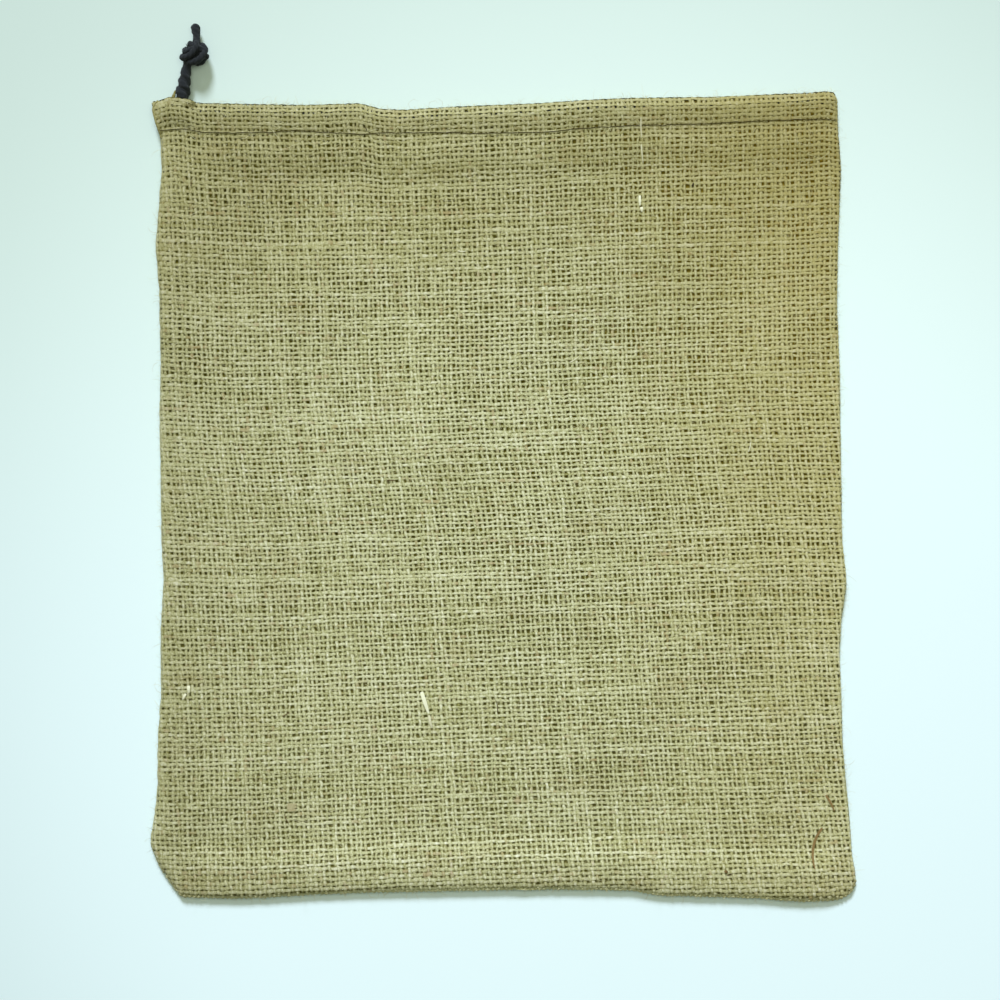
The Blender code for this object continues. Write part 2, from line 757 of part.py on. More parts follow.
def knot():
    """The knot's wound form: a ball with the cord's turns as ridges and lobes."""
    mesh = bmesh.new()
    bmesh.ops.create_uvsphere(mesh, u_segments=24, v_segments=14, radius=1)
    for vert in mesh.verts:
        direction = vert.co.normalized()
        slant = math.atan2(direction.y + RIDGE_LEAN * direction.z, direction.x)
        ridge = RIDGE_HEIGHT * math.cos(RIDGES * slant + (RIDGES + 1) * direction.z)
        place = Vector(direction[k] * KNOT_SIZE[k] for k in range(3)) * (1 + ridge)
        for lobe in KNOT_LOBES:
            toward = Vector((lobe.across, lobe.up, lobe.height)).normalized()
            near = max(0.0, direction.dot(toward))
            place += direction * lobe.size * near**LOBE_SHARPNESS
        vert.co = place + KNOT_CENTRE
    return mesh_object("drawcord_knot", mesh)


def finish_with(made, name, colour, roughness):
    material = bpy.data.materials.new(name)
    material.use_nodes = True
    shader = material.node_tree.nodes["Principled BSDF"]
    shader.inputs["Base Color"].default_value = (*colour, 1)
    shader.inputs["Roughness"].default_value = roughness
    shader.inputs["Metallic"].default_value = 0
    made.data.materials.append(material)


for existing in list(bpy.data.objects):
    bpy.data.objects.remove(existing)

cloth = Sheet().finish("sack_cloth")
finish_with(cloth, "jute_hessian", (0.33, 0.32, 0.16), 0.95)

cord_colour = (0.018, 0.023, 0.023)
finish_with(drawcord(), "drawcord_black", cord_colour, 0.8)
finish_with(knot(), "knot_black", cord_colour, 0.8)

free_end = cord("drawcord_end", smooth_curve(END_ROUTE, END_STEPS), END_RADII)
finish_with(free_end, "end_black", cord_colour, 0.8)
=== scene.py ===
import math

import bpy
import numpy as np
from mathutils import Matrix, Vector


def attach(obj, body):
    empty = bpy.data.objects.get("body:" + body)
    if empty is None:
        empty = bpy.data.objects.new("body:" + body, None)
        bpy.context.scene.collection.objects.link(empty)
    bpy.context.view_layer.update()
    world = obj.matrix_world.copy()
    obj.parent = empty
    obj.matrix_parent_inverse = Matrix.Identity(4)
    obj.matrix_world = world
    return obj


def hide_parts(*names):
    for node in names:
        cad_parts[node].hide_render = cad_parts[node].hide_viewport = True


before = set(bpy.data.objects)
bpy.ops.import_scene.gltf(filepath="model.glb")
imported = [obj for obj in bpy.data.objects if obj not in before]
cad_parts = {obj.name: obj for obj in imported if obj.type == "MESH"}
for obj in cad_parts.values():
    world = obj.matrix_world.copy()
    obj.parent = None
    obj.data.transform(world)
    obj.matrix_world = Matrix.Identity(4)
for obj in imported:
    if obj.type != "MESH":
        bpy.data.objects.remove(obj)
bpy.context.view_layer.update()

mm = 0.001
scene = bpy.context.scene
scene.view_settings.view_transform = "Standard"


def linked(name, data):  # a new object in the scene
    made = bpy.data.objects.new(name, data)
    scene.collection.objects.link(made)
    return made


camera = {"height": 0.72, "middleX": -1.1, "middleY": -1.6, "seen": 446.6, "seenAt": 0.004, "sensor": 36.0}

cameraData = bpy.data.cameras.new("camera")
cameraData.sensor_width = camera["sensor"]
cameraData.lens = camera["sensor"] * (camera["height"] - camera["seenAt"]) / (camera["seen"] * mm)
scene.camera = linked("camera", cameraData)
scene.camera.location = (camera["middleX"] * mm, camera["middleY"] * mm, camera["height"])
print("camera ready")


# small helpers
def smoothStep(x):
    x = np.clip(x, 0.0, 1.0)
    return x * x * (3 - 2 * x)


def fade(distance, near, far):  # 1 up to near, 0 from far on
    return 1 - smoothStep((distance - near) / (far - near))


def lerp(a, b, share):
    return a + (b - a) * share


def bump(distance, half):
    return np.cos(np.pi / 2 * np.minimum(np.abs(distance) / half, 1.0)) ** 2


def quarter(distance, radius):  # height share of a rounded edge, this far in from it
    reach = np.clip(distance / radius, 0.0, 1.0)
    return np.sqrt(1 - (1 - reach) ** 2)


def unit(vectors):
    return vectors / np.maximum(np.linalg.norm(vectors, axis=-1, keepdims=True), 1e-12)


def runOf(line):  # how far each point lies along its line
    return np.concatenate([[0], np.cumsum(np.linalg.norm(np.diff(line, axis=0), axis=1))])


def lookUp(grid, row, column, ease=smoothStep):  # the value there, between its four neighbours
    rows, columns = grid.shape
    r, c = np.floor(row).astype(int), np.floor(column).astype(int)
    down, across = ease(row - r), ease(column - c)
    r, c, nextR, nextC = r % rows, c % columns, (r + 1) % rows, (c + 1) % columns
    return lerp(lerp(grid[r, c], grid[r, nextC], across), lerp(grid[nextR, c], grid[nextR, nextC], across), down)


def softNoise(x, y, cell, seed):  # smooth random hills, from -1 to 1
    hills = np.random.default_rng(seed).uniform(-1, 1, (128, 128)).T
    return lookUp(hills, np.asarray(y) / cell + 64.5, np.asarray(x) / cell + 64.5)


def quadsOf(index):  # the faces between neighbours in a grid of point numbers
    return np.stack([index[..., :-1, :-1], index[..., :-1, 1:], index[..., 1:, 1:], index[..., 1:, :-1]], -1)


def tintOf(tone, dirt=0.0, crest=0.0):  # the colours that the finishes read: tone, dirt, and the crest with its painted highlight and shade
    return np.stack(np.broadcast_arrays(tone, dirt, crest, 1.0), -1)


# the sack's outline, in millimetres
outline = {  # each edge: (along it, where it lies)
    "left": [
        (-170.0, -150.9), (-164.0, -154.2), (-157.0, -157.2), (-152.5, -157.4), (-142.0, -155.6), (-129.0, -154.3),
        (-108.0, -154.3), (-90.0, -152.8), (-62.0, -153.0), (-37.0, -151.6), (-20.0, -152.6), (38.0, -153.4),
        (59.0, -153.0), (92.0, -153.6), (112.0, -155.2), (146.0, -152.5), (161.0, -152.9), (167.0, -154.8),
        (172.5, -156.2), (174.8, -155.6), (176.2, -153.9),
    ],
    "right": [
        (-175.8, 157.3), (-172.5, 158.4), (-168.0, 158.2), (-160.0, 156.8), (-144.0, 155.6), (-129.0, 154.1),
        (-112.0, 152.7), (-69.0, 151.2), (-54.0, 152.1), (-41.0, 154.2), (-35.0, 154.1), (-20.0, 152.4),
        (20.0, 151.7), (60.0, 151.2), (86.0, 150.0), (110.0, 150.5), (146.0, 151.8), (163.0, 150.5), (178.0, 149.9),
        (180.2, 148.9),
    ],
    "bottom": [
        (-150.9, -169.4), (-144.9, -178.0), (-143.4, -178.9), (-136.0, -179.4), (-117.0, -179.9), (-99.0, -178.9),
        (-73.0, -177.5), (-20.0, -176.3), (26.0, -175.7), (57.0, -176.2), (71.0, -178.5), (106.0, -179.3),
        (133.0, -181.1), (143.0, -181.1), (148.0, -181.0), (151.6, -180.3), (154.2, -179.0), (156.4, -177.0),
        (157.4, -175.4),
    ],
    "top": [
        (-153.9, 176.2), (-148.5, 177.9), (-143.0, 177.5), (-135.0, 175.8), (-88.0, 174.9), (-64.0, 175.7),
        (-54.0, 173.1), (-44.0, 172.7), (-26.0, 174.0), (17.0, 175.7), (35.0, 177.1), (55.0, 178.0), (92.0, 178.5),
        (133.0, 180.2), (146.0, 181.1), (149.4, 179.8),
    ],
    "softness": 0.9,  # how far a corner of these lines is rounded
    "step": 0.25,
    "reach": 24,  # steps that the rounding looks at on either side
    "mouth": (-153.0, 149.0),  # the ends of the mouth
    "mouthEnd": 150.0,  # past this the mouth line stays level
    "seamEnd": 157.2,  # and past this the bottom edge does
}


def softLine(points):  # the same line with its corners rounded, as a dense table
    along, place = np.array(points).T
    step, reach = outline["step"], outline["reach"]
    dense = np.arange(along[0], along[-1] + step, step)
    weight = np.exp(-0.5 * (np.arange(-reach, reach + 1) * step / outline["softness"]) ** 2)
    padded = np.pad(np.interp(dense, along, place), reach, mode="reflect", reflect_type="odd")
    soft = np.convolve(padded, weight / weight.sum(), "valid")
    return dense, soft, np.gradient(soft, dense)


softLines = {side: softLine(outline[side]) for side in ("left", "right", "bottom", "top")}


def edge(side, along):
    return np.interp(along, softLines[side][0], softLines[side][1])


def edgeSlope(side, along):
    return np.interp(along, softLines[side][0], softLines[side][2])


def mouthAt(x):
    return edge("top", np.minimum(x, outline["mouthEnd"]))


def inFromSeam(x, y):  # distance in from the seamed left and bottom edges, below 0 outside them
    left = (x - edge("left", y)) / np.sqrt(1 + edgeSlope("left", y) ** 2)
    bottom = (y - edge("bottom", x)) / np.sqrt(1 + edgeSlope("bottom", x) ** 2)
    return left, bottom


# the cloth's folds
cloth = {
    "thick": 1.0,
    "gap": 0.3,  # between the hem's layers
    "seamRim": 2.45,  # height of the seam's edge line
    "foldRim": 1.8,  # radius of the fold at the right edge
    "toFold": (135, 153),  # where the bottom's edge line comes down to the fold's
    "onAllowance": 4.9,  # the front's height where it lies on the turned-in allowances
    "onBack": 2.9,  # and where it lies on the back
    "overSeam": (11, 27),  # it comes down over this stretch in from the seams,
    "overHem": (18.5, 36),  # below the mouth
    "nearFold": (1, 14),  # and in from the fold
    "cornerFold": (3, 13),
    "stitch": 12.5,  # down from the mouth
    "raw": 17.5,  # where the turned-in hem ends inside
    "foldEven": 26.0,  # down from here the fold is as thin as it gets
    "frontCord": 4.0,  # the cord's middle, down from the mouth
    "backCord": 9.2,
    "foldChannel": 4.4,  # how wide the cord holds the hem open at the fold
    "foldChannelHalf": 7.6,
    "slit": 0.15,
    "wayOut": (12.0, 18.5),  # the channels' mouths reach this far in from the left edge
    "mouthDepth": (5.0, 13.5),
    "mouthTop": 7.4,  # height of the front over the channels' mouths
    "mouthRadius": (1.7, 1.0),  # of the hem's edge, and of its lip over the cord
    "mouthLip": 1.9,
    "mouthRound": 0.5,
    "droop": 1.4,  # how far the channel's mouth sinks towards the edge
    "droopWidth": 5.0,
    "lip": 0.9,  # how round the hem's open end is
    "frontLip": 0.9,  # how far its front sinks there, and its back rises
    "backLip": 0.4,
    "bottomSlope": 6.0,  # the cloth falls off over this width above the bottom edge
    "settled": 0.45,  # how much of that fall is gentle, the rest round
    "backLower": 0.8,  # the back's mouth edge lies this far below the front's
    "waves": [(190.0, 240.0, 0.6, 0.30), (-120.0, 95.0, 2.1, 0.22), (75.0, -160.0, 4.0, 0.16)],
    "creases": [  # from x, y to x, y: width, height
        (-152, 158, 150, 166, 5.0, -0.45), (-64, 176, -52, 160, 5.0, 0.5), (-50, 176, -40, 164, 5.0, -0.4),
        (-154, 118, -128, 108, 9.0, 0.35), (-153, 88, -110, 96, 10.0, -0.3), (153, -38, 118, -30, 8.0, 0.4),
        (151, -66, 112, -60, 10.0, -0.3), (-146, -150, -118, -128, 9.0, 0.35), (60, -172, 72, -150, 8.0, 0.35),
        (150, 70, 122, 40, 12.0, -0.3), (-40, -20, 60, 8, 16.0, 0.25), (-60, 40, 50, 58, 18.0, -0.25),
    ],
}

hem = {
    "stitchLine": [  # where the stitching crosses the hem
        (-160.0, 162.9), (-151.6, 163.2), (-143.6, 163.9), (-132.4, 162.5), (-120.8, 162.2), (-103.8, 162.5),
        (-92.7, 163.1), (-76.6, 162.3), (-61.9, 161.6), (-36.8, 162.3), (-10.9, 162.1), (12.7, 162.4), (23.9, 162.8),
        (41.3, 164.7), (58.3, 165.4), (86.9, 165.9), (103.8, 167.0), (138.2, 168.3), (149.4, 168.0), (160.0, 167.8),
    ],
    "outer": 3.2,  # the hem rises over this width on the cord's outer side
    "crest": 4.2,  # and falls from here, this far in from the mouth's edge
    "foot": 17.0,
    "rise": 1.25,  # how far the cord lifts the front
    "groove": 0.10,  # how deep the stitching pulls the cloth in
    "grooveHalf": 2.2,
    "stitchLength": 3.4,
    "threadRadius": 0.17,
}


def foldReach(inset):  # how far the fold stands out past its axis
    middle = (cloth["frontCord"] + cloth["backCord"]) / 2
    clear = cloth["gap"] + (cloth["foldChannel"] - cloth["gap"]) * bump(inset - middle, cloth["foldChannelHalf"])
    atHem = cloth["slit"] + 2 * cloth["thick"] + clear
    return lerp(cloth["foldRim"], atHem, fade(inset, cloth["raw"], cloth["foldEven"]))


def foldAxis(y, inset):
    return edge("right", y) - foldReach(inset)


def stitchAt(x):
    along, height = np.array(hem["stitchLine"]).T
    return np.interp(x, along, height)


def creaseHeight(x, y):
    total = 0.0
    for x0, y0, x1, y1, width, height in cloth["creases"]:
        dx, dy = x1 - x0, y1 - y0
        share = np.clip(((x - x0) * dx + (y - y0) * dy) / (dx * dx + dy * dy), 0, 1)
        away = np.hypot(x - x0 - share * dx, y - y0 - share * dy)
        total = total + height * np.exp(-((away / width) ** 2) * 2)
    return total


def waveHeight(x, y):
    total = 0.0
    for across, up, phase, height in cloth["waves"]:
        total = total + height * np.cos(2 * np.pi * (x / across + y / up) + phase)
    return total


def frontTop(x, y):  # height of the front's upper side
    inset = edge("top", x) - y
    left, bottom = inFromSeam(x, y)
    fold = foldAxis(y, inset) - x
    crease = creaseHeight(x, y)
    sag = cloth["onBack"] + waveHeight(x, y) + crease
    sag = lerp(sag, 2 * cloth["foldRim"], fade(fold, *cloth["nearFold"]))
    overLeft = fade(left, *cloth["overSeam"])
    overBottom = fade(bottom, *cloth["overSeam"]) * (1 - fade(fold, *cloth["cornerFold"]))
    lifted = 1 - (1 - overLeft) * (1 - overBottom) * (1 - fade(inset, *cloth["overHem"]))
    top = lerp(sag, cloth["onAllowance"] + 0.4 * crease, lifted)
    overCord = bump(np.maximum(cloth["frontCord"] - inset, 0), hem["outer"])
    top = top + hem["rise"] * (overCord * fade(inset, hem["crest"], hem["foot"]))
    top = top - hem["groove"] * bump(y - stitchAt(x), hem["grooveHalf"])
    inMouth = fade(inset, *cloth["mouthDepth"])
    top = lerp(top, cloth["mouthTop"], fade(left, *cloth["wayOut"]) * inMouth)
    return top - cloth["droop"] * fade(left, 0, cloth["droopWidth"]) * inMouth


def seamShare(x, y):  # the edge line's height, and how much of its own the cloth has beside the seam and the lip
    left, bottom = inFromSeam(x, y)
    inset = edge("top", x) - y
    height = lerp(cloth["seamRim"], cloth["foldRim"], 1 - fade(x, *cloth["toFold"]))
    sewn = smoothStep((inset - cloth["stitch"]) / 3)
    atLeft = lerp(1.0, quarter(left, height), sewn)
    lip = lerp(1.0, quarter(left, cloth["lip"]), 1 - sewn)
    gentle = np.sin(np.pi / 2 * np.clip(bottom / cloth["bottomSlope"], 0, 1))
    return height, atLeft * lerp(quarter(bottom, height), gentle, cloth["settled"]), lip


def mouthEdge(x, y, front):  # where the mouth's edge is, its radius, and the heights that it turns between
    top = edge("top", x)
    if not front:
        radius = cloth["thick"] + cloth["gap"] / 2
        return top - cloth["backLower"], radius, 0.0, 2 * radius
    atCord = fade(inFromSeam(x, np.minimum(y, top - 2))[0], *cloth["wayOut"])
    radius = lerp(*cloth["mouthRadius"], atCord)
    high = frontTop(x, top - radius)
    low = 2 * cloth["thick"] + cloth["gap"] + 2 * cloth["slit"]
    return top, radius, lerp(low, high - cloth["mouthLip"], atCord), high


def layerAt(x, b, front):  # the layer's y and z at x, where b goes on over the mouth's edge
    top, radius, low, high = mouthEdge(x, b, front)
    line = top - radius
    over = np.maximum(b - line, 0) / radius
    turn = np.minimum(over, np.pi)
    y = np.where(b < line, b, line + radius * np.sin(turn) - np.maximum(over - np.pi, 0) * radius)
    flat = np.minimum(b, line)
    height, share, lip = seamShare(x, flat)
    if front:
        sunk = cloth["frontLip"] * (1 - lip)
        body = height + (frontTop(x, flat) - height) * share - sunk
        edgeZ = low + (high - low) / 2 * (1 + np.cos(turn)) - sunk
    else:
        body = height * (1 - share) + cloth["backLip"] * (1 - lip)
        edgeZ = high / 2 * (1 - np.cos(turn))
    return y, np.where(b < line, body, edgeZ), turn


def clothAt(a, b):  # a goes across and on round the fold to the back, b up and on over the mouth's edge
    a, b = np.broadcast_arrays(np.asarray(a, float), np.asarray(b, float))
    inset = np.maximum(mouthAt(a) - b, 0)
    flatY = np.minimum(b, mouthAt(a))
    axis = foldAxis(flatY, inset)
    x = np.minimum(a, axis)
    beyond = np.maximum(a - axis, 0)
    frontY, frontZ, turn = layerAt(x, b, True)
    backY, backZ, _ = layerAt(x, b, False)
    reach = foldReach(inset)
    half = (frontZ - backZ) / 2
    arc = np.pi * (reach + np.maximum(half, 0.6)) / 2
    angle = np.pi / 2 - np.pi * np.minimum(beyond / arc, 1.0)
    endReach = foldReach(0 * inset)
    middle = (endReach + cloth["slit"]) / 2
    reach = np.where(turn > 0, middle + (endReach - middle) * np.cos(turn), reach)
    reach = reach * quarter(np.maximum(inFromSeam(x, flatY)[1], 0), cloth["foldRim"])
    placeX = x + reach * np.cos(angle) - np.maximum(beyond - arc, 0)
    placeY = lerp(frontY, backY, (1 - np.sin(angle)) / 2)
    placeY = placeY - cloth["mouthRound"] * np.cos(angle) ** 2 * fade(inset, 0, 5)
    return np.stack([placeX, placeY, (frontZ + backZ) / 2 + half * np.sin(angle)], -1)


def underAt(a, b):  # the back's lower side, with a across it
    a, b = np.broadcast_arrays(np.asarray(a, float), np.asarray(b, float))
    y, z, _ = layerAt(a, b, False)
    return np.stack([a, y, z], -1)


def outwards(surface, a, b, sign, step=0.15):
    across = surface(a + step, b) - surface(a - step, b)
    up = surface(a, b + step) - surface(a, b - step)
    return unit(np.cross(across, up)) * sign


# how the yarns run
weave = {
    "warpPitch": [(-165, 2.07), (-100, 2.04), (-60, 2.02), (-32, 1.99), (-14, 2.12), (0, 2.30), (14, 2.16),
                  (34, 2.07), (64, 2.04), (98, 2.12), (130, 2.15), (175, 2.15)],
    "weftPitch": [(-190, 2.26), (-165, 2.22), (-131, 2.17), (-98, 2.12), (-64, 2.13), (-31, 2.09), (3, 2.03),
                  (36, 2.03), (70, 2.15), (103, 2.10), (137, 2.12), (158, 2.08), (190, 2.08)],
    "leanUp": [-190, -165, -131, -98, -64, -31, 3, 36, 70, 103, 137, 190],
    "leanAcross": [-128, 0, 128],
    "lean": [  # degrees that the warps lean to the left, one row for each height in leanUp
        (3.1, 5.2, 7.2), (3.1, 5.2, 7.2), (1.2, 4.0, 7.5), (2.3, 4.3, 5.7), (3.9, 3.9, 4.4), (3.6, 3.8, 5.3),
        (8.0, 9.0, 6.8), (4.9, 5.3, 6.2), (1.7, 1.0, 1.0), (2.4, 1.6, 0.0), (3.2, 1.8, 0.8), (2.4, 1.2, 0.6),
    ],
    "riseUp": [-170, -130, 0, 120, 150],
    "riseAcross": [-150, -128, -96, -32, 32, 96, 140, 160],
    "rise": [  # degrees that the wefts rise to the right
        (-1.0, 0.3, 2.8, 2.6, 1.6, 0.6, 1.2, 1.2), (0.2, 0.4, 2.4, 2.4, 1.6, 0.8, 1.4, 1.4),
        (-2.2, -1.6, 2.0, 1.8, 2.0, 2.0, -0.2, -0.4), (-2.4, -2.2, 0.3, 1.8, 2.6, 1.6, 2.8, 2.8),
        (-2.4, -2.2, 0.3, 1.8, 2.6, 1.6, 2.8, 2.8),
    ],
    "jitter": 0.12,  # how far a whole yarn lies off its place, in millimetres
    "sway": 0.25,  # and how far it strays along its way
    "bunching": 0.24,  # how far neighbours crowd together
    "width": {"warp": 1.40, "weft": 1.13},
    "crown": {"warp": 0.34, "weft": 0.15},  # height of a yarn's rounded side
    "amplitude": 0.13,  # of the yarns' waves over and under each other
    "uneven": 0.35,  # how much those waves differ
    "sides": {"warp": 0.42, "weft": 0.20},  # painted shade: how dark a yarn's sides are
    "tilt": {"warp": 1.05, "weft": 0.22},  # and how far they turn away
    "knuckle": 0.32,  # painted highlight: how light a yarn is where it comes over another
    "flecked": 0.10,  # how much the tone jumps from one crossing to the next
    "slack": 0.17,  # how far a single crossing lies off its place
    "slant": {"warp": -0.13, "weft": 0.05},  # how far a twisted yarn slants as it comes over another
    "thickness": {"warp": 0.09, "weft": 0.10},  # how much whole yarns differ in width
    "slubs": {"warp": 41, "weft": 51},  # seeds of the thick places
    "closed": {"warp": 0.7, "weft": 1.3},  # how much closer the weave is at the bottom,
    "closeLeft": 0.8,  # beside the left seam,
    "closeHem": 0.32,  # in the hem
    "closeStitch": 1.2,  # and at its stitching
    "beaten": {"warp": (0.08, 0.06), "weft": (0.26, 0.12)},  # how much wider the yarns are at the left and the bottom
    "leftRows": (1, 9),  # how far in from each edge this goes on in full, and where it ends
    "bottomRows": (4, 17),
    "wideRows": (3, 17),
    "hemRows": (13, 20),
    "stitchRows": 2.8,
    "knuckled": (7, 21),  # the weave stands up in these rows at the bottom
    "alongMouth": (6.0, 60.0),  # the wefts follow the mouth near it, and not this far down
    "pieces": {  # the front in four pieces: each one's name, its first yarn and the one after its last
        "warp": [("frontWarpsLeft", 0, 88), ("frontWarpsRight", 88, None)],
        "weft": [("frontWeftsLower", 0, 92), ("frontWeftsUpper", 92, None)],
    },
}


def places(pitches, start, end, shorten=lambda place: 1.0):  # where each yarn crosses the middle line
    found = [start]
    along, pitch = np.array(pitches).T
    while found[-1] < end:
        found.append(found[-1] + float(np.interp(found[-1], along, pitch)) / shorten(found[-1]))
    return np.array(found)


def hemShorten(y):  # the hem's slope brings the wefts closer together as seen from above
    if y < 150 or y > edge("top", 0.0) - 2:
        return 1.0
    slope = (frontTop(0.0, y + 0.4) - frontTop(0.0, y - 0.4)) / 0.8
    return math.sqrt(1 + float(slope) ** 2)


rng = np.random.default_rng(7)
warpX = places(weave["warpPitch"], -176.0, 182.0)
weftY = places(weave["weftPitch"], -192.0, 190.0, hemShorten)
warpX = warpX + rng.normal(0, weave["jitter"], len(warpX))
weftY = weftY + rng.normal(0, weave["jitter"], len(weftY))

gridStep = 2.0
gridUp = np.arange(-200.0, 200.5, gridStep)
gridAcross = np.arange(-180.0, 190.5, gridStep)


def shifts(kind, axis):  # how far the yarns' slopes move them, from nothing at the middle line
    rows, columns, degrees = weave[kind + "Up"], weave[kind + "Across"], np.array(weave[kind])
    row = np.interp(gridUp[:, None], rows, np.arange(len(rows)))
    column = np.interp(gridAcross[None, :], columns, np.arange(len(columns)))
    total = np.cumsum(np.tan(np.radians(lookUp(degrees, row, column))), axis=axis) * gridStep
    middle = np.argmin(np.abs((gridUp, gridAcross)[axis]))
    return total - np.take(total, [middle], axis=axis)


leanShift = -shifts("lean", 0)
riseShift = shifts("rise", 1)


def onGrid(grid, up, across):
    row = np.clip((up - gridUp[0]) / gridStep, 0, len(gridUp) - 1.001)
    column = np.clip((across - gridAcross[0]) / gridStep, 0, len(gridAcross) - 1.001)
    return lookUp(grid, row, column, lambda share: share)


def stray(index, along, slow, quick, seed):  # how far a yarn wanders off its line
    wander = softNoise(index * 31.0, along, slow, seed) + 0.7 * softNoise(index * 17.0, along, quick, seed + 1)
    return weave["sway"] * wander


def crossings():  # where each warp meets each weft
    startX, y = np.meshgrid(warpX, weftY, indexing="ij")
    for _ in range(5):
        x = startX + onGrid(leanShift, y, startX)
        alongMouth = edge("top", x) - edge("top", 0.0)  # near the mouth the wefts run along its edge
        nearMouth = fade(edge("top", 0.0) - weftY, *weave["alongMouth"])
        y = weftY + lerp(onGrid(riseShift, weftY, x), alongMouth, nearMouth)
    strayX = stray(np.arange(len(warpX))[:, None], y, 21.0, 6.0, 11)
    strayY = stray(np.arange(len(weftY))[None, :], x, 25.0, 6.5, 13)
    crowdX = weave["bunching"] * (0.6 * softNoise(x, y / 6, 4.4, 15) + 0.4 * softNoise(x, y / 2.4, 4.9, 16))
    crowdY = weave["bunching"] * (softNoise(x / 6, y, 4.6, 17) + 0.5 * softNoise(x / 2.6, y, 5.2, 18))
    crowdY = crowdY * (0.7 + 0.3 * fade(y, 155, 166))
    loose = np.random.default_rng(19).normal(0, weave["slack"], (2, *x.shape))
    return x + strayX + crowdX + loose[0], y + strayY + crowdY + loose[1]


crossX, crossY = crossings()
print("yarns laid out:", len(warpX), "warps and", len(weftY), "wefts")


def openness(x, y, atBottom):  # where the weave is loose, above 0, and where it is beaten up close
    left, bottom = inFromSeam(x, y)
    loose = 0.35 * softNoise(x, y, 34.0, 21) + 0.4 * softNoise(x / 1.6, y, 13.0, 22)
    loose = loose + 0.35 * softNoise(x / 3.5, y, 5.5, 23)
    loose = loose + 0.65 * np.exp(-((x - 45) / 110) ** 2 - ((y - 10) / 110) ** 2) - 0.3
    close = weave["closeLeft"] * fade(left, *weave["leftRows"]) + atBottom * fade(bottom, *weave["bottomRows"])
    close = close + weave["closeHem"] * fade(edge("top", x) - y, *weave["hemRows"])
    return loose - close - weave["closeStitch"] * bump(y - stitchAt(x), weave["stitchRows"])


def beaten(x, y, atLeft, atBottom):  # how much wider the yarns lie where the weave is beaten up at the seams
    left, bottom = inFromSeam(x, y)
    return 1 + np.maximum(atLeft * fade(left, *weave["leftRows"]), atBottom * fade(bottom, *weave["wideRows"]))


# nodes written as sums
def plug(tree, socket, item):  # links the socket to a value, or sets it to a number or colour
    if isinstance(item, Value):
        tree.links.new(item.socket, socket)
    else:
        socket.default_value = item


class Value:
    def __init__(self, tree, socket):
        self.tree = tree
        self.socket = socket

    def math(self, operation, other, swap=False):
        node = self.tree.nodes.new("ShaderNodeMath")
        node.operation = operation
        plug(self.tree, node.inputs[int(swap)], self)
        plug(self.tree, node.inputs[int(not swap)], other)
        return Value(self.tree, node.outputs[0])

    def __add__(self, other):
        return self.math("ADD", other)

    def __radd__(self, other):
        return self.math("ADD", other, True)

    def __sub__(self, other):
        return self.math("SUBTRACT", other)

    def __rsub__(self, other):
        return self.math("SUBTRACT", other, True)

    def __mul__(self, other):
        return self.math("MULTIPLY", other)

    def __rmul__(self, other):
        return self.math("MULTIPLY", other, True)


class Finish:  # one material and the nodes that it is built from
    def __init__(self, name, plain):
        self.material = bpy.data.materials.new(name)
        self.material.use_nodes = True
        self.tree = self.material.node_tree
        self.shader = self.tree.nodes["Principled BSDF"]
        for key, value in plain.items():
            self.shader.inputs[key].default_value = value

    def add(self, kind, sockets=None, out=0, stops=(), **settings):
        node = self.tree.nodes.new("ShaderNode" + kind)
        for key, value in settings.items():
            setattr(node, key, value)
        for _ in stops[2:]:
            node.color_ramp.elements.new(0.5)
        for index, (place, colour) in enumerate(stops):
            node.color_ramp.elements[index].position = place
            node.color_ramp.elements[index].color = (*colour, 1)
        for key, value in (sockets or {}).items():
            plug(self.tree, node.inputs[key], value)
        return Value(self.tree, node.outputs[out])

    def feed(self, socket, value):
        self.tree.links.new(value.socket, self.shader.inputs[socket])

    def mix(self, share, first, second, kind="MIX"):
        first, second = (item if isinstance(item, Value) else (*item, 1) for item in (first, second))
        return self.add("Mix", {0: share, 6: first, 7: second}, 2, data_type="RGBA", blend_type=kind)

    def mapping(self, where, scale=(1, 1, 1), turn=0.0, kind="POINT"):
        return self.add("Mapping", {"Vector": where, "Scale": scale, "Rotation": (0, 0, turn)}, vector_type=kind)

    def place(self, *stretch):  # object coordinates, stretched and turned
        return self.mapping(self.add("TexCoord", out=3), *stretch)

    def fibres(self, *stretch):  # the same on the map that follows each yarn or cord
        return self.mapping(self.add("UVMap", uv_map="fibres"), *stretch)

    def noise(self, where, scale, detail=2.0, rough=0.6):
        return self.add("TexNoise", {"Vector": where, "Scale": scale, "Detail": detail, "Roughness": rough})

    def waves(self, where, axis, scale, distortion):
        return self.add("TexWave", {"Vector": where, "Scale": scale, "Distortion": distortion, "Detail": 2.0},
                        wave_type="BANDS", bands_direction=axis)

    def rise(self, value, start, end, low=0.0, high=1.0, kind="LINEAR"):  # from low at start to high at end
        return self.add("MapRange", {"Value": value, "From Min": start, "From Max": end, "To Min": low,
                                     "To Max": high}, interpolation_type=kind)

    def split(self, kind, key, value):
        node = self.add(kind, {key: value}).socket.node
        return [Value(self.tree, output) for output in node.outputs]

    def tint(self):  # the three parts of the piece's own colours
        return self.split("SeparateColor", "Color", self.add("Attribute", attribute_name="tint"))

    def drifts(self, table, kind="LINEAR"):  # slow changes across or up the sack, by name
        axes = dict(zip(("across", "up"), self.split("SeparateXYZ", "Vector", self.place())))
        return {name: self.rise(axes[axis], *reach, kind=kind) for name, (axis, *reach) in table.items()}

    def relief(self, strength, distance, height):
        self.feed("Normal", self.add("Bump", {"Strength": strength, "Distance": distance, "Height": height}))


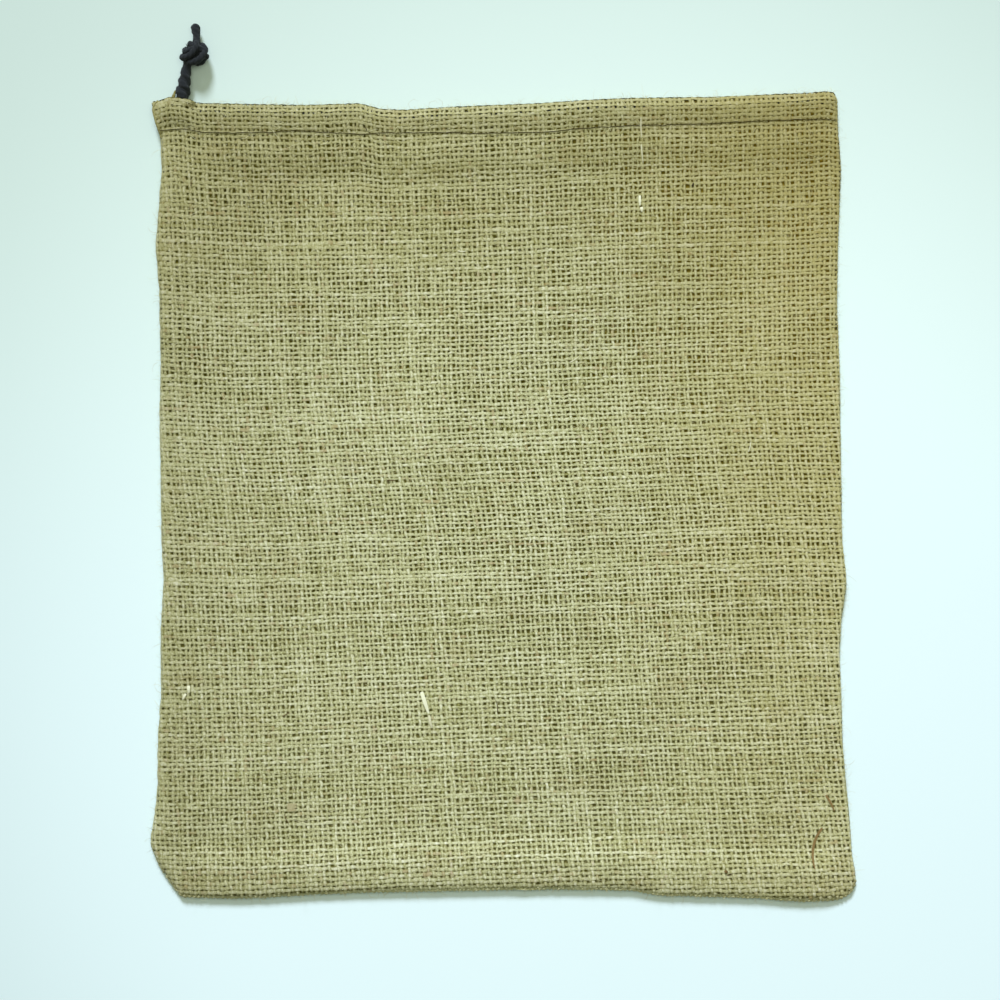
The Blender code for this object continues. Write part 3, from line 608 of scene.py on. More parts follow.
# finishes
jute = {
    "dark": (0.215, 0.212, 0.040),
    "middle": (0.580, 0.600, 0.310),
    "pale": (0.880, 0.905, 0.670),
    "brown": (0.360, 0.250, 0.095),
    "golden": (0.470, 0.395, 0.105),
    "shade": (0.730, 0.710, 0.640),  # how much is left of the colour where painted shade darkens it
    "hem": (0.240, 0.225, 0.090),
    # the sheet's colours are painted shade: the dark inside seen through the weave's holes, paler, golden or lower in
    # places
    "holes": (0.052, 0.046, 0.006),
    "holesPale": (0.165, 0.150, 0.026),
    "holesGolden": (0.270, 0.180, 0.016),
    "holesLow": (0.190, 0.180, 0.060),
    "roughness": 0.88,
    "yarnDrifts": {  # which way, from where to where in metres, and from how much to how much
        "right": ("across", 0.020, 0.150, 0.0, 0.43),
        "top": ("up", 0.030, 0.175),
        "left": ("across", -0.040, -0.160, 0.0, 0.60),
        "upper": ("up", -0.140, 0.040, 0.40),
        "hem": ("up", 0.156, 0.166, 0.0, 0.06),
        "bottom": ("up", -0.160, -0.172, 0.0, 0.36),
        "seam": ("across", -0.132, -0.150, 0.0, 0.26),
    },
    "holeDrifts": {
        "right": ("across", 0.0, 0.140, 0.0, 0.75),
        "upper": ("up", -0.060, 0.120),
        "lower": ("up", -0.020, -0.120, 0.0, 0.55),
    },
}


def yarnFinish():
    finish = Finish("juteYarn", {"Roughness": jute["roughness"], "Specular IOR Level": 0.30, "Sheen Weight": 0.10,
                                 "Sheen Roughness": 0.5})
    tone, dirt, crest = finish.tint()[:3]
    twisted = finish.mapping(finish.add("UVMap", uv_map="fibres"), (1.0, 6.25, 1.0), 0.35, "TEXTURE")
    streaks = finish.noise(twisted, 5.0, 3.0, 0.65)
    flecks = finish.noise(finish.fibres((0.8, 0.5, 1.0)), 2.4, 3.0, 0.7)
    cloudy = finish.noise(finish.place((1, 1, 0.01)), 16.0, 3.0)
    banded = finish.noise(finish.place((3.0, 24.0, 0.01)), 3.0, 2.0, 0.5)
    # the crest part brings in the yarns' painted highlight and painted shade
    level = tone * 0.50 + streaks * 0.56 + flecks * 1.15 + cloudy * 0.12 + banded * 0.10 + crest * 0.34 - 1.00
    stops = [(0.06, jute["dark"]), (0.45, jute["middle"]), (0.86, jute["pale"])]
    colour = finish.add("ValToRGB", {"Fac": level}, stops=stops)
    patches = finish.noise(finish.place((1, 1.6, 0.01), 0.3), 34.0, 3.0)
    colour = finish.mix(finish.rise(patches, 0.56, 0.80, 0.0, 0.24), colour, jute["brown"])
    colour = finish.mix(dirt * 0.7, colour, jute["brown"])
    to = finish.drifts(jute["yarnDrifts"], "SMOOTHSTEP")
    colour = finish.mix(to["right"] * to["upper"] + to["top"] * 0.20, colour, jute["golden"])
    # the hem band darker: its own darker tone, with painted shade
    colour = finish.mix(to["hem"], colour, jute["hem"])
    # painted shade: the cloth is darkened towards the left seam, the bottom edge, the top and the right, as the light
    # falls off there
    paintedShade = to["left"] + to["seam"] + to["bottom"] + to["right"] * 0.24 + to["top"] * 0.68
    finish.feed("Base Color", finish.mix(paintedShade, colour, jute["shade"], "MULTIPLY"))
    finish.relief(0.55, 0.00016, streaks + flecks * 0.5)
    return finish.material


# painted shade: the sheet is coloured as the shadowed inside seen through the holes
def sheetFinish():
    finish = Finish("holeShadeSheet", {"Roughness": 0.95, "Specular IOR Level": 0.05})
    across, up = finish.waves(finish.place(), "X", 76.0, 1.2), finish.waves(finish.place(), "Y", 74.0, 1.2)
    lines = across.math("MAXIMUM", up)
    cloudy = finish.noise(finish.place((1, 1, 0.01)), 16.0, 3.0)
    blotchy = finish.noise(finish.place((1, 1, 0.3)), 420.0)
    share = finish.rise(blotchy * 0.8 + lines * 0.25 + cloudy * 0.2, 0.45, 0.85)
    colour = finish.mix(share, jute["holes"], jute["holesPale"])
    to = finish.drifts(jute["holeDrifts"])
    colour = finish.mix(to["right"] * to["upper"], colour, jute["holesGolden"])
    finish.feed("Base Color", finish.mix(to["lower"], colour, jute["holesLow"]))
    finish.relief(0.4, 0.0003, lines)
    return finish.material


yarnMaterial = yarnFinish()
sheetMaterial = sheetFinish()
print("finishes ready")


# building meshes from arrays
def meshPiece(name, points, faces, material, uv=None, fibres=None, tint=None, normals=None):
    data = bpy.data.meshes.new(name)
    points = np.asarray(points, float) * mm
    points[:, 2] = np.maximum(points[:, 2], 0.0)
    data.from_pydata(points.tolist(), [], [tuple(f) for f in faces])
    corner = np.empty(len(data.loops), np.int32)
    data.loops.foreach_get("vertex_index", corner)
    for key, values in (("OFBake", uv), ("fibres", fibres)):  # one place for each point, or for each corner
        if values is not None:
            values = np.asarray(values, np.float32)
            values = values if len(values) == len(corner) and len(values) != len(points) else values[corner]
            data.uv_layers.new(name=key).uv.foreach_set("vector", values.ravel())
    if uv is not None:
        data.uv_layers["OFBake"].active_render = True
    if tint is not None:
        layer = data.color_attributes.new("tint", "FLOAT_COLOR", "POINT")
        layer.data.foreach_set("color", np.asarray(tint, np.float32).ravel())
    data.materials.append(material)
    data.shade_smooth()
    if normals is not None:
        data.normals_split_custom_set_from_vertices(np.asarray(normals, float).tolist())
    return linked(name, data)


def trimmed(a, b, inside, lost):  # pulls each line of points in to the edge, and says which points are left
    keep = (inside > 0) & ~lost
    still = keep.copy()
    for step in (1, -1):
        near = np.roll(keep, step, axis=1)
        near[:, 0 if step == 1 else -1] = False
        depth, nearA, nearB = (np.roll(values, step, axis=1) for values in (inside, a, b))
        moved = near & ~still & ~lost
        share = depth / np.maximum(depth - inside, 1e-9)
        a = np.where(moved, lerp(nearA, a, share), a)
        b = np.where(moved, lerp(nearB, b, share), b)
        still = still | moved
    return a, b, still


def yarns(name, surface, sign, kind, a, b, over, lost, width, order):  # a strip of two quads across for each yarn
    left, bottom = inFromSeam(np.minimum(a, outline["seamEnd"]), np.minimum(b, mouthAt(a) - 3))
    a, b, keep = trimmed(a, b, np.minimum(left, bottom), lost)
    place = surface(a, b)
    out = outwards(surface, a, b, sign)
    along = np.gradient(place, axis=1)
    along = unit(along - out * np.sum(along * out, -1, keepdims=True))
    side = np.cross(along, out)
    knuckled = fade(bottom, *weave["knuckled"])
    uneven = 1 + weave["uneven"] * softNoise(a * 3.1, b * 3.1, 2.0, 37)
    wave = weave["amplitude"] * (1 + 0.7 * knuckled) * uneven
    place = place + out * ((over - 1) * wave)[..., None]
    step = np.linalg.norm(np.diff(place, axis=1, prepend=place[:, :1]), axis=-1)
    run = np.cumsum(np.where(keep, step, 0), axis=1)
    slope = np.gradient(over, axis=1) * wave / np.maximum(np.gradient(run, axis=1), 0.2)
    half = width[..., None] / 2
    crown = weave["crown"][kind] * (width / 1.4)[..., None]
    points = np.stack([place - side * half - out * crown, place, place + side * half - out * crown], 2)
    tilt = weave["tilt"][kind]
    lean = along * slope[..., None] * 1.6
    normals = np.stack([unit(out * math.cos(tilt) - side * math.sin(tilt) - lean), unit(out - lean),
                        unit(out * math.cos(tilt) + side * math.sin(tilt) - lean)], 2)
    quads = quadsOf(np.arange(a.size * 3).reshape(*a.shape, 3))
    whole = keep[:, :-1] & keep[:, 1:] & (np.linalg.norm(np.diff(points[:, :, 1], axis=1), axis=-1) > 0.03)
    faces = np.concatenate([quads[:, :, k][whole] for k in (0, 1)])
    used = np.unique(faces)
    renumbered = np.full(a.size * 3, -1)
    renumbered[used] = np.arange(len(used))
    faces = renumbered[faces]
    strips = np.nonzero(whole.any(1))[0]
    slot = np.zeros(len(a))
    slot[strips] = np.arange(len(strips))
    across = np.arange(3)[None, None, :]  # the map: a strip for each yarn, with a margin round it
    acrossUv = (slot[:, None, None] + 0.12 + 0.38 * across) / len(strips)
    alongUv = (0.004 + 0.992 * run / max(float(run.max()), 1e-6))[..., None]
    uv = np.stack(np.broadcast_arrays(acrossUv, alongUv), -1)
    chance = yarnRandom[kind][order][:, :, None, None]
    fibres = np.stack(np.broadcast_arrays(chance[:, 0] * 40 + across * 0.7, run[..., None] + chance[:, 1] * 90), -1)
    rows = order[:, None]
    tone = 0.5 + 0.32 * (chance[:, 2, 0] - 0.5) + 0.15 * softNoise(a + rows * 7.7, b, 7.0, 31)
    tone = tone + 0.13 * softNoise(a * 1.7 + rows * 5.1, b * 1.7, 3.2, 33)
    tone = tone + np.random.default_rng(61).normal(0, weave["flecked"], a.shape)
    dirt = np.clip(softNoise(a * 1.3 + rows * 13.0, b * 1.3, 6.0, 32) - 0.62, 0, 1) * 2.4
    # the crest: painted highlight where a yarn comes over another and along its middle, painted shade on its sides
    lit = (weave["knuckle"] + 0.16 * knuckled) * over * uneven
    sideShade = weave["sides"][kind] * (0.55 + 0.9 * (1 - np.abs(over)))  # painted shade: darker beside the holes
    crest = 0.5 + lit[..., None] * np.array([0.6, 1.0, 0.6]) + sideShade[..., None] * np.array([-1.0, 0.0, -1.0])
    tint = tintOf(tone[..., None], dirt[..., None], crest + np.array([0.0, 0.16, 0.0]))
    print(name, len(strips), "yarns,", 2 * len(faces), "triangles")
    return meshPiece(name, points.reshape(-1, 3)[used], faces, yarnMaterial, uv.reshape(-1, 2)[used],
                     fibres.reshape(-1, 2)[used], tint.reshape(-1, 4)[used], normals.reshape(-1, 3)[used])


def between(grid):  # the places halfway between neighbours, put in among them
    found = np.empty((len(grid), 2 * grid.shape[1] - 1))
    found[:, ::2] = grid
    found[:, 1::2] = (grid[:, :-1] + grid[:, 1:]) / 2
    return found


def slanted(place, over, amount):  # moves the places in between, after and before each crossing
    place = place.copy()
    place[:, 1::2] += amount * over[:, :-1:2]
    return place


def slubs(order, along, seed):  # thick and thin places along a yarn
    swell = 0.13 * softNoise(order * 9.7, along, 6.0, seed) + 0.24 * softNoise(order * 3.3, along, 2.0, seed + 1)
    return swell + np.clip(softNoise(order * 17.1, along, 11.0, seed + 2) - 0.66, 0, 1) * 1.5


parity = (np.arange(len(warpX))[:, None] + np.arange(len(weftY))[None, :]) % 2
laid = {  # a row for each yarn: where it meets the others, and 1 where it lies over them or -1 under
    "warp": (crossX, crossY, 1.0 - 2.0 * parity),
    "weft": (crossX.T, crossY.T, 2.0 * parity.T - 1.0),
}
random = np.random.default_rng(5)
yarnRandom = {kind: random.uniform(0, 1, (len(laid[kind][0]), 3)) for kind in laid}
yarnThick = {kind: random.normal(0, weave["thickness"][kind], (len(laid[kind][0]), 1)) for kind in laid}


def frontYarns(kind):
    a, b, over = (between(grid) for grid in laid[kind])
    order = np.arange(len(a))
    swell = slubs(order[:, None], b if kind == "warp" else a, weave["slubs"][kind])
    width = 1 + yarnThick[kind] + swell - 0.15 * openness(a, b, weave["closed"][kind])
    width = weave["width"][kind] * width * (1 + 0.05 * over) * beaten(a, b, *weave["beaten"][kind])
    if kind == "warp":
        a = slanted(a, over, weave["slant"][kind])
    else:
        b = slanted(b, over, weave["slant"][kind])
    pastFold = a > foldAxis(np.minimum(b, edge("top", 145.0)), 30.0) + 7.5
    lost = pastFold | (b > mouthAt(a) + 4.0)  # or inside the hem
    made = []
    for name, low, high in weave["pieces"][kind]:
        rows = [values[low:high] for values in (a, b, over, lost, width, order)]
        made.append(yarns(name, clothAt, 1, kind, *rows))
    return made


def backYarns(kind):  # the side that lies down, in a coarser mesh
    x, y, over = laid[kind]
    swell = slubs(200.0, y, 61) if kind == "warp" else slubs(300.0, x, 71)
    width = weave["width"][kind] * (1.04 + yarnThick[kind] + swell)
    mouth = edge("top", np.clip(x, *outline["mouth"])) + 1.6
    lost = (x > edge("right", y) - 1.4) | (y > mouth) | (y < -178.5)
    name = {"warp": "backWarps", "weft": "backWefts"}[kind]
    return yarns(name, underAt, -1, kind, x, y, over, lost, width, np.arange(len(x)))


front = frontYarns("warp") + frontYarns("weft")
back = [backYarns("warp"), backYarns("weft")]


# the sheet under the yarns, coloured as painted shade seen through the holes
sheetValues = {"across": 124, "up": 150, "depth": 0.95, "inset": 0.35, "pastFold": 5.6}


def sheetPiece():
    u, inset = np.linspace(0, 1, sheetValues["across"]), sheetValues["inset"]
    points, faces = [], []
    for surface, sign in ((clothAt, 1), (underAt, -1)):
        grid = []
        for share in np.linspace(0, 1, sheetValues["up"]):
            b = lerp(-179.0, 177.0, share) + 0 * u
            for _ in range(4):  # closes in on the row's own place between the edges
                leftX = edge("left", np.clip(b, -170.0, 174.0)) + inset
                rightX = edge("right", b) - cloth["foldRim"] + (sheetValues["pastFold"] if sign > 0 else 0.0)
                a = lerp(leftX, rightX, u)
                low = edge("bottom", np.clip(a, -150.9, 157.0)) + inset
                b = low + share * (edge("top", np.clip(a, *outline["mouth"])) + 3.0 - low)
            grid.append(surface(a, b) - outwards(surface, a, b, sign) * sheetValues["depth"])
        count = len(grid) * len(u)
        quads = quadsOf(len(points) + np.arange(count).reshape(-1, len(u))).reshape(-1, 4)
        points.extend(np.reshape(grid, (-1, 3)))
        faces.extend(quads[:, ::sign])
    return meshPiece("sackSheet", np.array(points), faces, sheetMaterial)


sackSheet = sheetPiece()
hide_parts("sack_cloth")
print("sheet ready")


# strands, cords and threads as tubes along a line
def evenly(points, spacing):
    run = runOf(points)
    at = np.linspace(0, run[-1], max(3, int(round(run[-1] / spacing)) + 1))
    return np.stack([np.interp(at, run, points[:, k]) for k in range(3)], 1)


def roundLine(points, spacing):  # a smooth curve through the points, at an even spacing
    points = [np.array(p, float) for p in points]
    ends = [2 * points[0] - points[1], *points, 2 * points[-1] - points[-2]]
    found = [points[0]]
    for k in range(len(points) - 1):
        a, b, c, d = ends[k:k + 4]
        for t in np.linspace(0, 1, 17)[1:]:
            found.append(0.5 * (2 * b + (c - a) * t + (2 * a - 5 * b + 4 * c - d) * t * t
                                + (3 * b - a - 3 * c + d) * t ** 3))
    return evenly(np.array(found), spacing)


def rounded(points, radius, tangent):  # the line with a round end at either side
    angles = np.radians([28, 52, 72, 86])
    for at, way in ((0, -1), (-1, 1)):
        capPoints = points[at] + way * tangent[at] * (radius[at] * np.sin(angles) * 0.8)[:, None]
        capRadii = radius[at] * np.cos(angles)
        points = np.vstack([capPoints[::-1], points] if way < 0 else [points, capPoints])
        radius = np.concatenate([capRadii[::-1], radius] if way < 0 else [radius, capRadii])
    return points, radius, np.vstack([np.repeat(tangent[:1], 4, 0), tangent, np.repeat(tangent[-1:], 4, 0)])


def tubeParts(points, radius, around=12, strands=0, depth=0.0, pitch=7.0, columns=1):
    points = np.asarray(points, float)
    radius = np.broadcast_to(np.asarray(radius, float), (len(points),))
    points, radius, tangent = rounded(points, radius, unit(np.gradient(points, axis=0)))
    side = np.zeros_like(points)
    first = np.cross(tangent[0], (0.0, 0.0, 1.0))
    side[0] = unit(first if np.linalg.norm(first) > 0.1 else np.cross(tangent[0], (1.0, 0.0, 0.0)))
    for k in range(1, len(points)):
        side[k] = unit(side[k - 1] - tangent[k] * np.dot(side[k - 1], tangent[k]))
    up = np.cross(tangent, side)
    run = runOf(points)
    n, m = len(points), around + 1
    angle = 2 * np.pi * np.arange(m) / around
    size, tint = radius[:, None] * np.ones((1, m)), np.full((n, m), 0.7)
    # tint: lighter on each strand's crown and darker in the grooves, painted highlight and painted shade that the
    # finishes read
    if strands:
        tint = np.abs(np.cos(strands / 2 * (angle[None, :] + 2 * np.pi * run[:, None] / pitch)))
        size = size * (1 + depth * (tint - 0.72))
    ring = side[:, None] * np.cos(angle)[None, :, None] + up[:, None] * np.sin(angle)[None, :, None]
    place = points[:, None] + ring * size[..., None]
    aroundStep = np.empty_like(place)
    aroundStep[:, 1:-1] = place[:, 2:] - place[:, :-2]
    aroundStep[:, 0] = aroundStep[:, -1] = place[:, 1] - place[:, -2]
    normal = np.cross(aroundStep, np.gradient(place, axis=0))
    normal = unit(normal * np.sign(np.sum(normal * ring, -1, keepdims=True) + 1e-12))
    normal[0], normal[-1] = unit(normal[0] - tangent[0]), unit(normal[-1] + tangent[-1])
    faces = quadsOf(np.arange(n * m).reshape(n, m))
    share = (run / max(run[-1], 1e-9) * columns)[:, None]  # the map: the tube cut into columns side by side
    column = np.minimum(share[:-1].astype(int), columns - 1)
    low, high = (np.clip((ends - column) * 0.94 + 0.02, 0, 1) for ends in (share[:-1], share[1:]))
    sector = np.arange(around)[None, :]
    left, right = ((column + 0.06 + 0.88 * (sector + k) / around) / columns for k in (0, 1))
    ends = np.broadcast_arrays(left, low, right, low, right, high, left, high)
    corner = np.stack(ends, -1).reshape(n - 1, around, 4, 2)
    fibres = np.stack(np.broadcast_arrays(angle[None, :] * radius.mean(), run[:, None]), -1)
    middle = n // 2
    across, along = place[middle, 1] - place[middle, 0], place[middle + 1, 0] - place[middle, 0]
    if np.sum(np.cross(across, along) * ring[middle, 0]) < 0:  # the faces point outwards
        faces, corner = faces[..., ::-1], corner[..., ::-1, :]
    return {"points": place.reshape(-1, 3), "faces": faces.reshape(-1, 4), "normals": normal.reshape(-1, 3),
            "corner": corner.reshape(-1, 4, 2), "fibres": fibres.reshape(-1, 2), "tint": tint.ravel()}


def joined(name, parts, material, grid=1, crest=0.0):  # several tubes as one piece, each with its own part of the map
    start = 0
    for k, part in enumerate(parts):
        part["faces"] = part["faces"] + start
        part["corner"] = np.array([k % grid, k // grid]) / grid + part["corner"] / grid * 0.98
        part["fibres"] = part["fibres"] + (0, 37.0 * k)
        start += len(part["points"])
    whole = {key: np.concatenate([part[key] for part in parts]) for key in parts[0]}
    return meshPiece(name, whole["points"], whole["faces"], material, whole["corner"].reshape(-1, 2),
                     whole["fibres"], tintOf(whole["tint"], crest=crest), whole["normals"])


# the yarns that the seamed edges turn over
rim = {
    "left": {"radius": 0.62, "inset": 0.42, "lift": -0.45, "depth": 0.16, "pitch": 2.6, "taper": 0.1, "beads": 0.0},
    "bottom": {"radius": 0.84, "inset": 0.52, "lift": -0.28, "depth": 0.30, "pitch": 3.4, "taper": 6.0,
               "beads": 0.24},  # how far each turning warp swells the edge
    "uneven": 0.20,
    "wander": 0.20,
    # tone: lighter than the cloth's yarns, painted light on the rim's shaded underside
    "tone": 0.66,
    "rimShade": (0.36, 0.65),  # painted shade, how much darker: the mouth's side, and the yarn end beside the cord
    # crest: the seam yarns' painted highlight and shade, the same all along
    "crest": 0.42,
    "frayed": [(-147.6, 175.6, 4.4), (-146.8, 178.4, 4.4), (-146.0, 180.9, 4.4)],
}


def rimTone(tint, rimShade=0.0):
    return rim["tone"] - rimShade + 0.5 * (tint - 0.6)


def rimYarn(kind, x, y, seed):
    sizes = rim[kind]
    height = seamShare(x, y)[0]
    line = np.stack([x, y], 1)
    along = unit(np.gradient(line, axis=0))
    inwards = np.stack([-along[:, 1], along[:, 0]], 1)
    run = runOf(line)
    line = line + inwards * (sizes["inset"] + rim["wander"] * softNoise(run, 0 * run, 3.0, seed))[:, None]
    uneven = softNoise(run, 0 * run, 1.8, seed + 1) + 0.6 * softNoise(run, 0 * run, 7.0, seed + 2)
    radius = sizes["radius"] * (1 + rim["uneven"] * uneven + sizes["beads"] * np.sin(2 * np.pi * run / 2.12))
    radius = radius * np.clip((run[-1] - run) / sizes["taper"], 0.45, 1)
    part = tubeParts(np.stack([line[:, 0], line[:, 1], height + sizes["lift"]], 1), radius, 8, 2,
                     sizes["depth"], sizes["pitch"], columns=14)
    part["tint"] = rimTone(part["tint"])
    return part


def seamYarns():
    y = np.arange(161.0, -169.0, -0.6)
    corner = np.arange(-150.6, -145.4, 0.3)
    x, up = np.arange(-144.6, 155.6, 0.4), np.arange(-175.6, -167.0, 0.4)
    bottomX, bottomY = [*x, 156.6, *edge("right", up)], [*edge("bottom", x), -176.8, *up]
    parts = [rimYarn("left", edge("left", y), y, 85), rimYarn("left", corner, edge("bottom", corner), 88),
             rimYarn("bottom", np.array(bottomX), np.array(bottomY), 91)]
    mouth = np.arange(160.5, 176.7, 0.5)
    side = clothAt(edge("left", np.minimum(mouth, 176.0)) + 0.35, mouth)
    frayed = roundLine(rim["frayed"], 0.4)
    ends = [tubeParts(side + (0, 0, -0.35), 0.55, 8, 2, 0.16, 2.6, columns=2),
            tubeParts(frayed, np.linspace(1.35, 0.45, len(frayed)), 8, 2, 0.2, 3.0)]
    for part, rimShade in zip(ends, rim["rimShade"]):
        part["tint"] = rimTone(part["tint"], rimShade)
    return joined("seamYarns", parts + ends, yarnMaterial, 3, rim["crest"])


seamPiece = seamYarns()
print("seam yarns made")


# the drawcord, its knot and its free end
cord = {
    "radius": 1.5,
    "strands": 3,
    "depth": 0.24,
    "pitch": 6.2,
    "pairRadius": (2.05, 1.50),  # the slack cords outside the hem, from there to the knot
    "twistStart": (-143.1, 178.9, 3.6),
    "twistEnd": (-140.8, 192.1, 4.7),
    "twistRadius": (1.65, 0.68),  # from the pair's middle to each cord's, at the hem and at the knot
    "pairCore": (2.75, 1.80),
    "twistPitch": 8.6,
    "twistPhase": 1.28,
    "route": [
        (-142.2, 176.6, 4.6), (-141.3, 173.9, 3.9), (-138.8, 172.2, 4.0), (-134, 171.6, 4.1), (-120, 171.5, 4.1),
        (-88, 170.9, 4.1), (-64, 171.7, 4.1), (-54, 169.2, 4.1), (-44, 168.7, 4.1), (-26, 170.0, 4.1),
        (17, 171.7, 4.1), (35, 173.1, 4.1), (55, 173.9, 4.1), (92, 174.5, 4.1), (125, 175.8, 4.1), (136, 176.3, 4.1),
        (141.4, 176.2, 4.0), (143.5, 175.3, 3.9), (144.2, 174.0, 3.7), (143.5, 172.7, 3.4), (141.4, 171.8, 3.1),
        (136, 171.3, 3.0), (125, 170.5, 3.0), (92, 169.2, 3.0), (55, 168.7, 3.0), (35, 167.8, 3.0), (17, 166.5, 3.0),
        (-26, 164.8, 3.0), (-44, 163.5, 3.0), (-54, 164.0, 3.0), (-64, 166.4, 3.0), (-88, 165.8, 3.0),
        (-120, 166.4, 3.0), (-140, 166.9, 3.0), (-143.8, 167.8, 2.9), (-145.8, 170.2, 2.7), (-146.0, 173.4, 2.5),
        (-144.9, 176.6, 2.3),
    ],
    "knotMiddle": (-137.45, 197.05, 4.9),
    "knotScale": 1.04,
    "end": [(-136.5, 200.6, 5.0), (-136.45, 203.0, 4.9), (-136.55, 205.6, 4.5), (-136.85, 207.6, 4.1),
            (-137.15, 209.45, 3.7)],
    "endRadii": [2.15, 1.85, 1.50, 1.90, 2.10],
    "colour": (0.0065, 0.0105, 0.0110),
    # the lighter colour: worn and faded places, and the painted highlight on the strands' crowns
    "wornAndLit": (0.0240, 0.0300, 0.0310),
}


def cordFinish():
    finish = Finish("cordBlack", {"Roughness": 0.72, "Sheen Weight": 0.05, "Specular IOR Level": 0.22})
    lay = finish.waves(finish.fibres((1, 1, 1), 0.62), "X", 1.5, 2.4)
    fluff = finish.noise(finish.fibres((2.4, 0.9, 1.0)), 2.6, 3.0, 0.65)
    faded = finish.noise(finish.place(), 160.0, 2.0, 0.5)
    # lighter on the strands' crowns and darker in the grooves as painted highlight and shade, with worn and faded
    # places
    share = finish.rise(finish.tint()[0] * 0.5 + lay * 0.22 + fluff * 0.35 + faded * 0.35, 0.45, 1.15)
    finish.feed("Base Color", finish.mix(share, cord["colour"], cord["wornAndLit"]))
    finish.feed("Roughness", fluff * 0.22 + 0.62)
    finish.relief(0.7, 0.00022, lay * 0.6 + fluff * 0.7)
    return finish.material


def twisted(phase):  # one cord of the twisted pair, from the hem up to the knot
    start, end = np.array(cord["twistStart"]), np.array(cord["twistEnd"])
    axis = end - start
    side = unit(np.array((axis[1], -axis[0], 0.0)))
    up = np.cross(side, unit(axis))
    found = []
    for share in np.linspace(0, 1, 13):
        angle = phase + 2 * np.pi * np.linalg.norm(axis) / cord["twistPitch"] * share
        away = lerp(*cord["twistRadius"], share)
        found.append(start + axis * share + away * (math.cos(angle) * side + math.sin(angle) * up))
    return found


cordMaterial = cordFinish()
cordLay = (cord["strands"], cord["depth"], cord["pitch"])
intoKnot = np.array(cord["knotMiddle"]) + (-1.6, -2.4, 0.0)
firstCord, secondCord = twisted(cord["twistPhase"]), twisted(cord["twistPhase"] + math.pi)
cordLine = roundLine([intoKnot, *firstCord[::-1], *cord["route"], *secondCord, intoKnot + (0.4, 0.3, -0.6)], 0.55)
for _ in range(3):  # no kinks
    cordLine[1:-1] = cordLine[:-2] / 4 + cordLine[1:-1] / 2 + cordLine[2:] / 4
cordLine = evenly(cordLine, 0.55)
upPair = cordLine[:, 1] - cord["twistStart"][1]
cordRadius = lerp(*cord["pairRadius"], np.clip(upPair / 13.0, 0, 1))
cordRadius = lerp(cordRadius, cord["radius"], fade(upPair, -2.5, -0.5))
drawcord = joined("drawcordRope", [tubeParts(cordLine, cordRadius, 15, *cordLay, columns=16)], cordMaterial)
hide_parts("drawcord")

# each wrap of the knot, as points about its middle
knotWraps = {
    "bottomWrap": ([(-3.4, -2.7, -1.8), (-3.5, -3.5, -0.2), (-1.7, -3.9, 1.7), (0.8, -3.7, 2.8), (2.9, -2.6, 3.0),
                    (4.2, -0.5, 2.2), (4.7, 1.6, 0.8), (3.9, 3.4, -0.2), (2.3, 4.1, -1.5), (0.2, 2.4, -3.1),
                    (-2.4, -0.6, -3.2), (-3.4, -2.7, -1.8)], 1.45),
    "middleWrap": ([(-3.6, 0.8, -2.6), (-4.9, -0.4, -1.4), (-4.8, -1.5, 0.8), (-3.1, -1.8, 2.6), (-1.0, -1.0, 3.4),
                    (0.5, 0.7, 3.4), (1.1, 2.6, 2.8), (1.2, 4.4, 1.4), (1.1, 5.2, 0.2)], 1.45),
    "innerWrap": ([(-1.4, 2.6, -2.8), (-3.4, 2.6, -1.8), (-3.9, 1.7, 0.0), (-3.2, 0.8, 1.7), (-1.6, 1.0, 2.7),
                   (-0.2, 2.0, 2.4), (1.0, 3.0, 1.2)], 1.4),
    "topWrap": ([(0.6, 3.2, -2.4), (-0.9, 4.1, -1.6), (-1.7, 4.5, 0.0), (-1.2, 4.0, 1.5), (0.3, 3.3, 2.3),
                 (2.3, 2.5, 2.4), (3.5, 1.0, 1.7), (3.7, -0.8, 1.0)], 1.35),
    "underWrap": ([(2.8, 1.4, -2.6), (3.6, -0.6, -2.6), (2.2, -2.4, -2.8), (-0.4, -2.2, -3.1), (-2.2, 0.6, -3.1),
                   (-1.0, 2.6, -3.0)], 1.45),
    "stub": ([(3.0, -0.7, 0.9), (4.4, -0.85, 0.8), (5.2, -0.92, 0.6), (5.55, -0.95, 0.5)], 1.24),
}


def knotParts():
    middle = np.array(cord["knotMiddle"])
    parts = []
    for points, radius in knotWraps.values():
        line = roundLine([middle + np.array(p) * cord["knotScale"] for p in points], 0.42)
        parts.append(tubeParts(line, radius, 14, *cordLay))
    core = roundLine([middle + p for p in ((-2.2, -1.6, -0.2), (0.0, 0.0, -0.1), (1.8, 1.8, 0.0))], 0.6)
    pair = roundLine([np.array(cord["twistStart"]) + (0, -1.0, 0), np.array(cord["twistEnd"])], 0.5)
    spike = roundLine([middle + p for p in ((-2.7, 3.0, 0.6), (-3.1, 3.8, 1.0), (-3.6, 4.6, 1.1))], 0.3)
    return [*parts, tubeParts(core, 2.95, 14),
            tubeParts(pair, np.linspace(*cord["pairCore"], len(pair)), 14, 2, 0.10, cord["twistPitch"]),
            tubeParts(spike, np.linspace(0.34, 0.05, len(spike)), 6)]


drawcordKnot = joined("drawcordKnot", knotParts(), cordMaterial, 3)
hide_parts("drawcord_knot")
endLine = roundLine(cord["end"], 0.4)
endRadii = np.interp(np.linspace(0, 1, len(endLine)), np.linspace(0, 1, len(cord["endRadii"])), cord["endRadii"])
drawcordEnd = joined("drawcordEnd", [tubeParts(endLine, endRadii, 16, cord["strands"], 0.14, 7.5)], cordMaterial)
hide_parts("drawcord_end")
print("knot and free end made")


